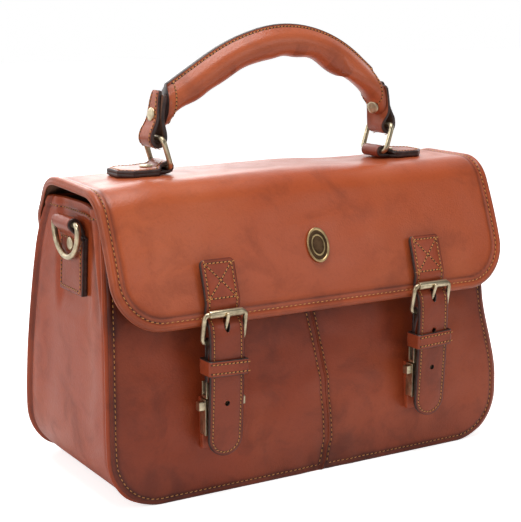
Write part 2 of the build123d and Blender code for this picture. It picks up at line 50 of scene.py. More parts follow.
# the camera and the lamps stand in metres
camera = {"place": (-0.5488, -0.8871, 0.3615), "yaw": -31.12, "rise": 11.26, "lens": 92.5}


def makeCamera():
    data = bpy.data.cameras.new("camera")
    data.lens = camera["lens"]
    data.sensor_width = 36
    data.clip_end = 50
    eye = placed("camera", data)
    yaw, rise = rad(camera["yaw"]), rad(camera["rise"])
    back = (math.sin(yaw) * math.cos(rise), -math.cos(yaw) * math.cos(rise), math.sin(rise))
    eye.location = camera["place"]
    eye.rotation_euler = Vector(back).to_track_quat("Z", "Y").to_euler()
    bpy.context.scene.camera = eye


lamps = {
    "overhead": {"place": (-0.1, -0.05, 1.5), "size": 0.9, "power": 15},
    "leftSoft": {"place": (-1.5, -0.5, 0.8), "size": 0.7, "power": 6.5},
    "frontSoft": {"place": (0.9, -1.7, 0.9), "size": 1.0, "power": 5},
    "rimBack": {"place": (0.3, 1.6, 0.9), "size": 1.2, "power": 11},
}
studio = {
    "world": 0.3, "seen": 1.0, "mirrorFront": 0.1, "mirrorBack": 1.7, "floor": (0.93, 0.925, 0.92),
    "floorGlow": 0.72, "floorHalf": 6.0, "aim": (0, 0, 0.15),
}


def makeStudio():
    world = bpy.data.worlds.new("studio")
    bpy.context.scene.world = world
    world.use_nodes = True
    background = world.node_tree.nodes["Background"]
    background.inputs["Color"].default_value = (1, 1, 1, 1)
    tree = world.node_tree
    # the backdrop looks white, mirrors brighter from behind than from the front and lights softly
    ray = addNode(tree, "ShaderNodeLightPath").outputs
    way = addNode(
        tree, "ShaderNodeSeparateXYZ", Vector=addNode(tree, "ShaderNodeTexCoord").outputs["Generated"]
    )
    mirror = spread(tree, way.outputs["Y"], -0.1, 0.8, studio["mirrorFront"], studio["mirrorBack"])
    mirror = mathNode(tree, "SUBTRACT", mirror, studio["world"])
    glow = mathNode(tree, "MULTIPLY", mirror, ray["Is Glossy Ray"])
    glow = mathNode(tree, "ADD", glow, studio["world"])
    extra = mathNode(tree, "MULTIPLY", ray["Is Camera Ray"], studio["seen"] - studio["world"])
    tree.links.new(mathNode(tree, "ADD", glow, extra), background.inputs["Strength"])
    for name, lamp in lamps.items():
        data = bpy.data.lights.new(name, "AREA")
        data.shape = "DISK"
        data.size = lamp["size"]
        data.energy = lamp["power"]
        light = placed(name, data)
        light.location = lamp["place"]
        aim = Vector(lamp["place"]) - Vector(studio["aim"])
        light.rotation_euler = aim.to_track_quat("Z", "Y").to_euler()
    half = studio["floorHalf"]
    mesh = bpy.data.meshes.new("floor")
    corners = [(-half, -half, 0), (half, -half, 0), (half, half, 0), (-half, half, 0)]
    mesh.from_pydata(corners, [], [(0, 1, 2, 3)])
    floor = placed("floor", mesh)
    floor.data.materials.append(finish["floor"])


def shaderGroup(name, inputs, outputs):
    group = bpy.data.node_groups.new(name, "ShaderNodeTree")
    for label, kind, value in inputs:
        socket = group.interface.new_socket(label, in_out="INPUT", socket_type=kind)
        if value is not None:
            socket.default_value = value
    for label, kind in outputs:
        group.interface.new_socket(label, in_out="OUTPUT", socket_type=kind)
    return group


def placed(name, data):
    # a new object in the scene
    thing = bpy.data.objects.new(name, data)
    bpy.context.scene.collection.objects.link(thing)
    return thing


def settled(piece):
    # the piece's mesh with its modifiers applied
    bpy.context.view_layer.update()
    return bpy.data.meshes.new_from_object(piece.evaluated_get(bpy.context.evaluated_depsgraph_get()))


def addNode(tree, kind, settings=None, **links):
    # a node with its settings, and its inputs set to a value or linked to an output
    node = tree.nodes.new(kind)
    for key, value in (settings or {}).items():
        setattr(node, key, value)
    for key, value in links.items():
        index = int(key[1:]) if key[0] == "i" and key[1:].isdigit() else key.replace("_", " ")
        if isinstance(value, bpy.types.NodeSocket):
            tree.links.new(value, node.inputs[index])
        else:
            node.inputs[index].default_value = value
    return node


def mathNode(tree, operation, a, b):
    return addNode(tree, "ShaderNodeMath", {"operation": operation}, i0=a, i1=b).outputs[0]


def mixColour(tree, amount, a, b):
    return addNode(tree, "ShaderNodeMix", {"data_type": "RGBA"}, i0=amount, i6=a, i7=b).outputs[2]


def spread(tree, value, low, high, outLow=0.0, outHigh=1.0):
    links = {"i0": value, "i1": low, "i2": high, "i3": outLow, "i4": outHigh}
    return addNode(tree, "ShaderNodeMapRange", {"clamp": True}, **links).outputs[0]


def makeLeatherColour():
    group = shaderGroup(
        "leatherColour",
        [
            ("Vector", "NodeSocketVector", None),
            ("Base", "NodeSocketColor", None),
            ("Light", "NodeSocketColor", None),
            ("Deep", "NodeSocketColor", None),
            ("Mottle", "NodeSocketFloat", 0.5),
            ("Burnish", "NodeSocketFloat", 0.0),
            ("Gloss", "NodeSocketFloat", 0.4),
        ],
        [("Color", "NodeSocketColor"), ("Roughness", "NodeSocketFloat")],
    )
    start = group.nodes.new("NodeGroupInput").outputs
    cloud = addNode(
        group, "ShaderNodeTexNoise", Vector=start["Vector"], Scale=7.0, Detail=5.0, Roughness=0.55
    )
    blot = addNode(
        group, "ShaderNodeTexNoise", Vector=start["Vector"], Scale=32.0, Detail=6.0, Roughness=0.62,
        Distortion=0.6,
    )
    fleck = addNode(
        group, "ShaderNodeTexNoise", Vector=start["Vector"], Scale=420.0, Detail=3.0, Roughness=0.6
    )
    lightShare = mathNode(group, "MULTIPLY", spread(group, cloud.outputs[0], 0.42, 0.68), start["Mottle"])
    colour = mixColour(group, lightShare, start["Base"], start["Light"])
    deepShare = mathNode(group, "MULTIPLY", spread(group, blot.outputs[0], 0.5, 0.75), start["Mottle"])
    deepShare = mathNode(group, "MULTIPLY", deepShare, 0.6)
    colour = mixColour(group, deepShare, colour, start["Deep"])
    fleckShare = spread(group, fleck.outputs[0], 0.5, 0.8, 0.0, 0.16)
    colour = mixColour(group, fleckShare, colour, start["Deep"])
    # the burnish attribute pulls the colour toward Deep, broken up by the blots: it holds burnished edges
    # and grooves, and on the front panels, flap and gusset also painted shade
    worn = spread(group, blot.outputs[0], 0.25, 0.6, 0.55, 1.0)
    edge = mathNode(group, "MULTIPLY", start["Burnish"], worn)
    colour = mixColour(group, edge, colour, start["Deep"])
    rough = spread(group, blot.outputs[0], 0.3, 0.7, -0.05, 0.08)
    rough = mathNode(group, "ADD", start["Gloss"], rough)
    end = group.nodes.new("NodeGroupOutput")
    group.links.new(colour, end.inputs["Color"])
    group.links.new(rough, end.inputs["Roughness"])
    return group


def makeLeatherGrain():
    group = shaderGroup(
        "leatherGrain",
        [
            ("Vector", "NodeSocketVector", None),
            ("Pebble", "NodeSocketFloat", 800.0),
            ("Crease", "NodeSocketFloat", 0.4),
        ],
        [("Height", "NodeSocketFloat")],
    )
    start = group.nodes.new("NodeGroupInput").outputs
    pebble = addNode(
        group, "ShaderNodeTexVoronoi", {"feature": "SMOOTH_F1"}, Vector=start["Vector"],
        Scale=start["Pebble"], Smoothness=0.7,
    )
    pore = addNode(group, "ShaderNodeTexNoise", Vector=start["Vector"], Scale=1500.0, Detail=2.0)
    crease = addNode(
        group, "ShaderNodeTexNoise", Vector=start["Vector"], Scale=55.0, Detail=7.0, Roughness=0.62,
        Distortion=1.2,
    )
    height = mathNode(group, "MULTIPLY", pebble.outputs[0], 0.45)
    height = mathNode(group, "ADD", height, mathNode(group, "MULTIPLY", pore.outputs[0], 0.16))
    height = mathNode(group, "ADD", height, mathNode(group, "MULTIPLY", crease.outputs[0], start["Crease"]))
    end = group.nodes.new("NodeGroupOutput")
    group.links.new(height, end.inputs["Height"])
    return group


def blankMaterial(name):
    material = bpy.data.materials.new(name)
    material.use_nodes = True
    tree = material.node_tree
    return material, tree, tree.nodes["Principled BSDF"]


def joinShader(tree, shader, colour, rough, bump):
    tree.links.new(colour, shader.inputs["Base Color"])
    tree.links.new(rough, shader.inputs["Roughness"])
    tree.links.new(bump.outputs[0], shader.inputs["Normal"])


leathers = {
    "tanBody": {
        "base": (0.325, 0.05, 0.014), "light": (0.45, 0.09, 0.03), "deep": (0.07, 0.01, 0.004),
        "mottle": 0.75, "gloss": 0.36, "crease": 0.5,
    },
    "tanFlap": {
        "base": (0.41, 0.078, 0.024), "light": (0.51, 0.12, 0.042), "deep": (0.13, 0.022, 0.008),
        "mottle": 0.7, "gloss": 0.35, "crease": 0.45,
    },
    "tanGusset": {
        "base": (0.35, 0.052, 0.012), "light": (0.44, 0.085, 0.024), "deep": (0.1, 0.015, 0.006),
        "mottle": 0.8, "gloss": 0.36, "crease": 0.6,
    },
    "tanStrap": {
        "base": (0.33, 0.056, 0.019), "light": (0.42, 0.084, 0.03), "deep": (0.07, 0.012, 0.007),
        "mottle": 0.7, "gloss": 0.38, "crease": 0.4,
    },
    "tanHandle": {
        "base": (0.41, 0.085, 0.032), "light": (0.52, 0.14, 0.058), "deep": (0.12, 0.02, 0.009),
        "mottle": 0.55, "gloss": 0.3, "crease": 0.45,
    },
}


def makeLeather(name, look):
    material, tree, shader = blankMaterial(name)
    place = addNode(tree, "ShaderNodeTexCoord").outputs["Object"]
    # the burnish attribute holds burnished edges and, on some pieces, painted shade
    darkening = addNode(tree, "ShaderNodeAttribute", {"attribute_name": "burnish"}).outputs["Fac"]
    colour = addNode(tree, "ShaderNodeGroup", {"node_tree": groups["colour"]}, Vector=place, Burnish=darkening)
    for key in ("base", "light", "deep"):
        colour.inputs[key.capitalize()].default_value = (*look[key], 1)
    colour.inputs["Mottle"].default_value = look["mottle"]
    colour.inputs["Gloss"].default_value = look["gloss"]
    grain = addNode(
        tree, "ShaderNodeGroup", {"node_tree": groups["grain"]}, Vector=place, Crease=look["crease"]
    )
    bump = addNode(tree, "ShaderNodeBump", Height=grain.outputs[0], Strength=0.5, Distance=0.0005)
    joinShader(tree, shader, colour.outputs["Color"], colour.outputs["Roughness"], bump)
    shader.inputs["Coat Weight"].default_value = 0.05
    shader.inputs["Coat Roughness"].default_value = 0.3
    shader.inputs["Specular IOR Level"].default_value = 0.32
    return material


metals = {
    "antiqueBrass": {"bright": (0.66, 0.56, 0.38), "dull": (0.24, 0.18, 0.11), "gloss": 0.28},
    "badgeBrass": {"bright": (0.6, 0.44, 0.22), "dull": (0.22, 0.14, 0.07), "gloss": 0.3},
    "badgeField": {"bright": (0.13, 0.075, 0.04), "dull": (0.05, 0.028, 0.016), "gloss": 0.42},
}


def makeMetal(name, look):
    material, tree, shader = blankMaterial(name)
    place = addNode(tree, "ShaderNodeTexCoord").outputs["Object"]
    patina = addNode(tree, "ShaderNodeTexNoise", Vector=place, Scale=120.0, Detail=6.0, Roughness=0.65)
    scratch = addNode(tree, "ShaderNodeTexNoise", Vector=place, Scale=900.0, Detail=4.0, Distortion=2.0)
    share = spread(tree, patina.outputs[0], 0.42, 0.75)
    colour = mixColour(tree, share, (*look["bright"], 1), (*look["dull"], 1))
    rough = mathNode(tree, "ADD", spread(tree, patina.outputs[0], 0.35, 0.7, 0.0, 0.18), look["gloss"])
    bump = addNode(tree, "ShaderNodeBump", Height=scratch.outputs[0], Strength=0.12, Distance=0.0002)
    joinShader(tree, shader, colour, rough, bump)
    shader.inputs["Metallic"].default_value = 1
    return material


plains = {
    "edgePaint": {
        "base": (0.022, 0.012, 0.011), "light": (0.06, 0.03, 0.024), "gloss": 0.38, "scale": 260.0,
        "bump": 0.35,
    },
    "innerHide": {
        "base": (0.12, 0.05, 0.028), "light": (0.2, 0.09, 0.05), "gloss": 0.85, "scale": 700.0, "bump": 0.6
    },
    "thread": {
        "base": (0.52, 0.21, 0.045), "light": (0.66, 0.31, 0.085), "gloss": 0.62, "scale": 2500.0,
        "bump": 0.5,
    },
    # the needle holes are painted dark as the shade inside a hole
    "needleHoleShade": {
        "base": (0.03, 0.009, 0.006), "light": (0.05, 0.014, 0.009), "gloss": 0.8, "scale": 900.0,
        "bump": 0.2,
    },
    "liningCloth": {
        "base": (0.035, 0.022, 0.018), "light": (0.06, 0.04, 0.033), "gloss": 0.88, "scale": 1400.0,
        "bump": 0.5,
    },
    "board": {
        "base": (0.09, 0.055, 0.04), "light": (0.13, 0.085, 0.06), "gloss": 0.8, "scale": 600.0, "bump": 0.4
    },
    "foam": {
        "base": (0.3, 0.24, 0.18), "light": (0.4, 0.33, 0.26), "gloss": 0.9, "scale": 500.0, "bump": 0.5
    },
    "floor": {"base": studio["floor"], "light": (0.95, 0.95, 0.95), "gloss": 0.9, "scale": 3.0, "bump": 0.0},
}


def makePlain(name, look):
    material, tree, shader = blankMaterial(name)
    place = addNode(tree, "ShaderNodeTexCoord").outputs["Object"]
    noise = addNode(tree, "ShaderNodeTexNoise", Vector=place, Scale=look["scale"], Detail=4.0, Roughness=0.6)
    colour = mixColour(
        tree, spread(tree, noise.outputs[0], 0.35, 0.65), (*look["base"], 1), (*look["light"], 1)
    )
    rough = mathNode(tree, "ADD", spread(tree, noise.outputs[0], 0.3, 0.7, -0.05, 0.05), look["gloss"])
    bump = addNode(tree, "ShaderNodeBump", Height=noise.outputs[0], Strength=look["bump"], Distance=0.0003)
    joinShader(tree, shader, colour, rough, bump)
    return material


groups = {"colour": makeLeatherColour(), "grain": makeLeatherGrain()}
finish = {name: makeLeather(name, look) for name, look in leathers.items()}
finish.update({name: makeMetal(name, look) for name, look in metals.items()})
finish.update({name: makePlain(name, look) for name, look in plains.items()})
floorShader = finish["floor"].node_tree.nodes["Principled BSDF"]
floorShader.inputs["Emission Color"].default_value = (1, 1, 1, 1)
floorTree = finish["floor"].node_tree
seen = addNode(floorTree, "ShaderNodeLightPath").outputs["Is Camera Ray"]
floorTree.links.new(
    mathNode(floorTree, "MULTIPLY", seen, studio["floorGlow"]), floorShader.inputs["Emission Strength"]
)
makeCamera()
makeStudio()
print("materials, camera and studio ready")

# curves in a plane; from here on lengths are in millimetres
step = 0.5  # spacing of the points along a run


def arcRun(start, heading, pieces):
    # straights and arcs one after another, each (length, turn in degrees)
    place, angle = np.array(start, float), rad(heading)
    points = [place.copy()]
    for length, turn in pieces:
        count = max(2, int(length / step))
        for k in range(count):
            middle = angle + rad(turn) * (k + 0.5) / count
            place = place + length / count * np.array([math.cos(middle), math.sin(middle)])
            points.append(place)
        angle += rad(turn)
    return makeRun(points)


def throughRun(points):
    # a smooth curve through the points
    pts = np.array(points, float)
    pts = np.vstack([2 * pts[0] - pts[1], pts, 2 * pts[-1] - pts[-2]])
    out = [pts[1]]
    for a, b, c, d in zip(pts[:-3], pts[1:-2], pts[2:-1], pts[3:]):
        count = max(3, int(np.hypot(*(c - b)) / step))
        t = (np.arange(1, count + 1) / count)[:, None]
        gap = [max(np.hypot(*(q - p)), 1e-6) for p, q in ((a, b), (b, c), (c, d))]
        m1 = (c - b) + gap[1] * ((b - a) / gap[0] - (c - a) / (gap[0] + gap[1]))
        m2 = (c - b) + gap[1] * ((d - c) / gap[2] - (d - b) / (gap[1] + gap[2]))
        curve = (2 * t**3 - 3 * t**2 + 1) * b + (t**3 - 2 * t**2 + t) * m1
        out.extend(curve + (-2 * t**3 + 3 * t**2) * c + (t**3 - t**2) * m2)
    return makeRun(out)


def makeRun(points):
    pts = np.array(points, float)
    along = np.concatenate([[0], np.cumsum(np.hypot(*np.diff(pts, axis=0).T))])
    tangent = np.gradient(pts, axis=0)
    tangent /= np.hypot(*tangent.T)[:, None]
    return {"points": pts, "tangent": tangent, "along": along, "length": along[-1]}


def onRun(run, s):
    # points and tangents at the distances s
    s = np.asarray(s, float)
    place = np.stack([np.interp(s, run["along"], run["points"][:, k]) for k in (0, 1)], -1)
    way = np.stack([np.interp(s, run["along"], run["tangent"][:, k]) for k in (0, 1)], -1)
    return place, way / np.linalg.norm(way, axis=-1, keepdims=True)


def whereOnRun(run, axis, value):
    # distance along the run where one coordinate passes a value
    gap = run["points"][:, axis] - value
    k = int(np.nonzero(gap[:-1] * gap[1:] <= 0)[0][0])
    share = gap[k] / (gap[k] - gap[k + 1])
    return run["along"][k] + share * (run["along"][k + 1] - run["along"][k])


def arcPoints(centre, radius, angles):
    return [(centre[0] + radius * math.cos(a), centre[1] + radius * math.sin(a)) for a in np.radians(angles)]


# A lay is a run put in space: its plane's two directions, the direction across and the side that faces out
def makeLay(run, origin, first, second, across, out):
    vectors = [np.array(v, float) for v in (origin, first, second, across)]
    return {"run": run, "vectors": vectors, "out": out}


def onLay(lay, s, w, lift=0.0):
    # points at s along and w across, lifted off the face, and the directions that face out
    s, w, lift = np.broadcast_arrays(np.asarray(s, float), np.asarray(w, float), np.asarray(lift, float))
    origin, first, second, across = lay["vectors"]
    place, way = onRun(lay["run"], s)
    normal = lay["out"] * (first * -way[..., 1:2] + second * way[..., 0:1])
    point = origin + first * place[..., 0:1] + second * place[..., 1:2] + across * w[..., None]
    return point + normal * lift[..., None], normal


def uprightLay(run, x, out):
    # a run in the y and z plane, with x across it
    return makeLay(run, (x, 0, 0), (0, 1, 0), (0, 0, 1), (1, 0, 0), out)


def faceOut(lay, s, axis, sign):
    # turns a lay's face to look along an axis, judged at the distance s
    lay["out"] = 1 if onLay(lay, s, 0.0)[1][axis] * sign > 0 else -1


def smooth(low, high, value):
    # 0 to 1 as value goes from low to high, either way round
    t = np.clip((np.asarray(value, float) - low) / (high - low), 0, 1)
    return t * t * (3 - 2 * t)


def ridge(value, centre, width):
    return np.exp(-(((np.asarray(value, float) - centre) / width) ** 2))


def gentle(height, deepest=1.7):
    # keeps hollows shallow so that the leather stays clear of what is behind it
    height = np.asarray(height, float)
    return np.where(height < 0, -deepest * np.tanh(-height / deepest), height)


def cornerDistance(fromEnd, fromSide, radius):
    # how far a point is inside an edge whose corner is rounded
    a, b = radius - fromEnd, radius - fromSide
    return np.where((a > 0) & (b > 0), radius - np.hypot(a, b), np.minimum(fromEnd, fromSide))


def between(low, high):
    # the way from one place to another, the middle and half the distance
    low, high = np.array(low), np.array(high)
    reach = np.linalg.norm(high - low)
    return (high - low) / reach, (low + high) / 2, reach / 2


def rolledOff(distance, radius):
    # how far a rounded edge has fallen away at a distance from its rim
    inside = np.clip(radius - distance, 0, radius)
    return radius - np.sqrt(np.maximum(radius**2 - inside**2, 0))


def softWaves(a, b, seed, reach):
    # slow uneven waves, about -1 to 1, for leather that isn't flat
    draw = np.random.default_rng(seed)
    total = 0
    for _ in range(7):
        turn, phase = draw.uniform(0, 2 * math.pi, 2)
        size = 2 * math.pi / (reach * draw.uniform(0.6, 1.8))
        total = total + np.sin((a * math.cos(turn) + b * math.sin(turn)) * size + phase)
    return total / 3.2


def spaced(low, high, gap, edge=(), endEdge=()):
    # marks from low to high, closer near each end where edge lists distances from it
    marks = [low + e for e in edge] + [high - e for e in endEdge]
    inner = low + max(edge, default=0), high - max(endEdge, default=0)
    count = max(1, int(round((inner[1] - inner[0]) / gap)))
    marks += list(np.linspace(inner[0], inner[1], count + 1))
    return np.unique(np.round([low, high, *marks], 4))


def cornerMarks(radius, count=14):
    return [radius * (1 - math.cos(k / count * math.pi / 2)) for k in range(1, count + 1)]


def shares(places, width):
    return [place / width for place in places]


borderMarks = (0.6, 1.3, 2.1, 3, 4, 5, 6, 7, 8, 9.2, 10.5, 12, 14, 17)
narrowMarks = (0.5, 1.1, 1.8, 2.6, 3.4, 4.4)


def gridFaces(grid):
    return np.stack([grid[:-1, :-1], grid[1:, :-1], grid[1:, 1:], grid[:-1, 1:]], -1).reshape(-1, 4)


def loopFaces(first, second):
    return np.stack([first, np.roll(first, -1), np.roll(second, -1), second], -1)


def makeObject(name, points, faces, materials, which=None, burnish=None, sharp=None):
    mesh = bpy.data.meshes.new(name)
    mesh.from_pydata((np.asarray(points) / 1000).tolist(), [], [list(f) for f in faces])
    for material in materials:
        mesh.materials.append(finish[material])
    if which is not None:
        mesh.polygons.foreach_set("material_index", np.asarray(which, np.int32))
    if burnish is not None:
        mesh.attributes.new("burnish", "FLOAT", "POINT").data.foreach_set(
            "value", np.asarray(burnish, np.float32)
        )
    shell = bmesh.new()
    shell.from_mesh(mesh)
    bmesh.ops.recalc_face_normals(shell, faces=shell.faces)
    shell.to_mesh(mesh)
    shell.free()
    mesh.shade_smooth()
    if sharp:
        mesh.set_sharp_from_angle(angle=rad(sharp))
    return placed(name, mesh)


rimRound = 0.3  # the rounding at each edge of a rim, as a share of the leather's thickness


def rimProfile():
    # (outward, inward) shares from the outer face round the edge to the inner face
    turns = [rad(a) for a in (30, 60, 90)]
    top = [(math.sin(a) - 1, rimRound * (1 - math.cos(a))) for a in turns]
    return top + [(out, 1 - down) for out, down in reversed(top)]


def leatherSheet(
    name, lay, rows, low, high, marks, thickness, leather, back="innerHide", height=None, edge=0.8,
    darkening=None, rim="edgePaint",
):
    # leather along a lay: rows along it, and shares of the width between low(s) and high(s) across it
    s = rows[:, None] + 0 * marks[None, :]
    lowEdge, highEdge = np.asarray(low(rows))[:, None], np.asarray(high(rows))[:, None]
    w = lowEdge + (highEdge - lowEdge) * marks[None, :]
    lift = height(s, w) if height else np.zeros_like(s)
    outer, normal = onLay(lay, s, w, lift)
    inner, _ = onLay(lay, s, w, -thickness + np.minimum(lift, 0))
    shape = s.shape
    index = np.arange(s.size).reshape(shape)
    border = np.concatenate([index[:-1, 0], index[-1, :-1], index[:0:-1, -1], index[0, :0:-1]])
    face, behind, up = outer.reshape(-1, 3), inner.reshape(-1, 3), normal.reshape(-1, 3)
    brink, rimUp = face[border].copy(), up[border]
    depth = np.einsum("ij,ij->i", brink - behind[border], rimUp)
    tangent = np.roll(brink, -1, 0) - np.roll(brink, 1, 0)
    outward = np.cross(tangent, rimUp)
    outward /= np.linalg.norm(outward, axis=1, keepdims=True)
    middle = face.mean(0)
    if np.einsum("ij,ij->i", outward, brink - middle).mean() < 0:
        outward = -outward
    face[border] = brink - outward * edge
    behind[border] = brink - outward * edge - rimUp * depth[:, None]
    loops, rings = [border], []
    for k, (out, share) in enumerate(rimProfile()):
        loops.append(2 * s.size + k * len(border) + np.arange(len(border)))
        rings.append(brink + outward * edge * out - rimUp * (depth * share)[:, None])
    loops.append(border + s.size)
    points = np.vstack([face, behind, *rings])
    top = gridFaces(index)
    under = gridFaces(index + s.size)[:, ::-1]
    rimFaces = np.vstack([loopFaces(a, b) for a, b in zip(loops[:-1], loops[1:])])
    faces = np.vstack([top, under, rimFaces])
    which = np.repeat([0, 1, 2], [len(top), len(under), len(rimFaces)])
    burnish = np.zeros(len(points))
    # the darkening on the face holds burnished edges and, for some pieces, painted shade; rims are darkened
    # as burnished edges
    if darkening:
        burnish[: s.size] = darkening(s, w).ravel()
    burnish[2 * s.size :] = 1 if rim == "edgePaint" else 0.35
    return makeObject(name, points, faces, [leather, back, rim], which, burnish)


def tubeMesh(path, radius, closed, count, up=(0, 1, 0)):
    # a round wire along a path; up is the direction across the path's plane
    path, up = np.asarray(path, float), np.asarray(up, float)
    tangent = np.roll(path, -1, 0) - np.roll(path, 1, 0) if closed else np.gradient(path, axis=0)
    tangent /= np.linalg.norm(tangent, axis=1, keepdims=True)
    side = np.cross(tangent, up)
    side /= np.linalg.norm(side, axis=1, keepdims=True)
    turn = np.arange(count) / count * 2 * math.pi
    ring = side[:, None] * np.cos(turn)[None, :, None] + up * np.sin(turn)[None, :, None]
    points = (path[:, None] + ring * radius).reshape(-1, 3)
    index = np.arange(len(points)).reshape(len(path), count)
    pairs = list(zip(index[:-1], index[1:])) + ([(index[-1], index[0])] if closed else [])
    faces = [tuple(f) for a, b in pairs for f in loopFaces(a, b)]
    if not closed:
        faces += [tuple(index[0]), tuple(index[-1])]
    return points, faces


def roundedLoop(halfWide, halfHigh, radius, count=7):
    points = []
    for k, (x, y) in enumerate(((1, 1), (-1, 1), (-1, -1), (1, -1))):
        for j in range(count):
            a = rad(90 * k + 90 * j / (count - 1))
            spot = (x * (halfWide - radius), y * (halfHigh - radius))
            points.append((spot[0] + radius * math.cos(a), spot[1] + radius * math.sin(a)))
    return np.array(points)


def discMesh(profile, origin, axis, first, wide=1.0, tall=1.0, count=28):
    # a turned shape from (radius, height) points, oval where wide and tall differ
    axis = np.array(axis, float) / np.linalg.norm(axis)
    first = np.array(first, float)
    first = first - axis * first.dot(axis)
    first /= np.linalg.norm(first)
    second = np.cross(axis, first)
    turn = np.arange(count) / count * 2 * math.pi
    flat = first * wide * np.cos(turn)[:, None] + second * tall * np.sin(turn)[:, None]
    points = [np.array(origin) + flat * r + axis * h for r, h in profile]
    index = np.arange(count * len(profile)).reshape(len(profile), count)
    faces = [tuple(f) for a, b in zip(index[:-1], index[1:]) for f in loopFaces(a, b)]
    faces += [tuple(index[0]), tuple(index[-1])]
    return np.vstack(points), faces


def joined(parts):
    points, faces, start = [], [], 0
    for pts, fcs in parts:
        points.append(pts)
        faces += [tuple(int(i) + start for i in f) for f in fcs]
        start += len(pts)
    return np.vstack(points), faces


def withHoles(piece, cutters):
    # cuts closed shapes out of a piece; the cut faces keep the painted edge
    for points, faces in cutters:
        cutter = makeObject("cutter", points, faces, ["edgePaint"])
        cut = piece.modifiers.new("cut", "BOOLEAN")
        cut.operation, cut.solver, cut.object = "DIFFERENCE", "EXACT", cutter
        cut.material_mode = "TRANSFER"
        done = settled(piece)
        piece.modifiers.clear()
        piece.data = done
        bpy.data.objects.remove(cutter)


def fromNode(node, bevel, material, body, slot):
    # a bevelled copy of a hard part
    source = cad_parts[node]
    piece = placed(node + "_finished", source.data.copy())
    shell = bmesh.new()
    shell.from_mesh(piece.data)
    bmesh.ops.remove_doubles(shell, verts=shell.verts, dist=1e-6)
    bmesh.ops.dissolve_limit(shell, angle_limit=rad(1), verts=shell.verts, edges=shell.edges)
    shell.to_mesh(piece.data)
    shell.free()
    soften = piece.modifiers.new("soften", "BEVEL")
    soften.width, soften.segments, soften.limit_method = bevel / 1000, 2, "ANGLE"
    soften.angle_limit = rad(40)
    done = settled(piece)
    piece.modifiers.clear()
    piece.data = done
    piece.data.materials.clear()
    piece.data.materials.append(finish[material])
    piece.data.shade_smooth()
    piece.data.set_sharp_from_angle(angle=rad(35))
    settle(piece, body, slot, node)


def settle(piece, body, slot, *nodes):
    # what every finished piece says: where it rides and the plain solids that it stands for
    if isinstance(body, str):
        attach(piece, body)
    else:
        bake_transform(piece)
    if nodes:
        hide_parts(*nodes)


stitch = {
    "pitch": 3.9, "long": 2.6, "thick": 0.66, "hole": 0.88, "slant": 9.0, "proud": 0.05, "fine": 2.9,
    "loop": 3.0, "grip": 3.1,
}
seams = {}  # rows by the body they ride on: each row is (points, directions that face out, pitch)


def addRow(body, points, facing, pitch=None):
    seams.setdefault(body, []).append((points, facing, pitch or stitch["pitch"]))


def addSeam(body, lay, s, w, height=None, pitch=None):
    # a row of stitches through places on a lay, just proud of its relief
    points, normal = onLay(lay, s, w, (height(s, w) if height else 0) + stitch["proud"])
    if any(lay is own for own in bodyLays):
        points = fillOut(points)
    if body == "flapBend":
        points = hangFlap(points)
    if body == "handle":
        points = twistEnd(points)
    addRow(body, points, np.broadcast_to(normal, points.shape), pitch)


def stitchShape():
    # one stitch: a short plump thread lying along x, its ends dipping into the leather
    half = ((-0.5, -0.35, 0.35), (-0.34, 0.12, 0.85), (0, 0.22, 1.0))
    points = []
    for x, z, size in (*half, *[(-x, z, size) for x, z, size in half[1::-1]]):
        for k in range(6):
            a = k / 6 * 2 * math.pi
            y = math.cos(a) * stitch["thick"] / 2 * size
            up = z * stitch["thick"] + math.sin(a) * stitch["thick"] / 2 * size
            points.append((x * stitch["long"], y, up))
    index = np.arange(30).reshape(5, 6)
    faces = [tuple(f) for a, b in zip(index[:-1], index[1:]) for f in loopFaces(a, b)]
    return np.array(points), faces + [tuple(index[0]), tuple(index[-1])]


def holeShape():
    # one needle hole: a small dish, dark as painted shade in the hole
    profile = ((0.25, -0.35), (1.0, -0.1), (1.0, 0.05), (0.55, 0.09))
    profile = [(r * stitch["hole"], h) for r, h in profile]
    return discMesh(profile, (0, 0, 0), (0, 0, 1), (1, 0, 0), tall=0.85, count=8)


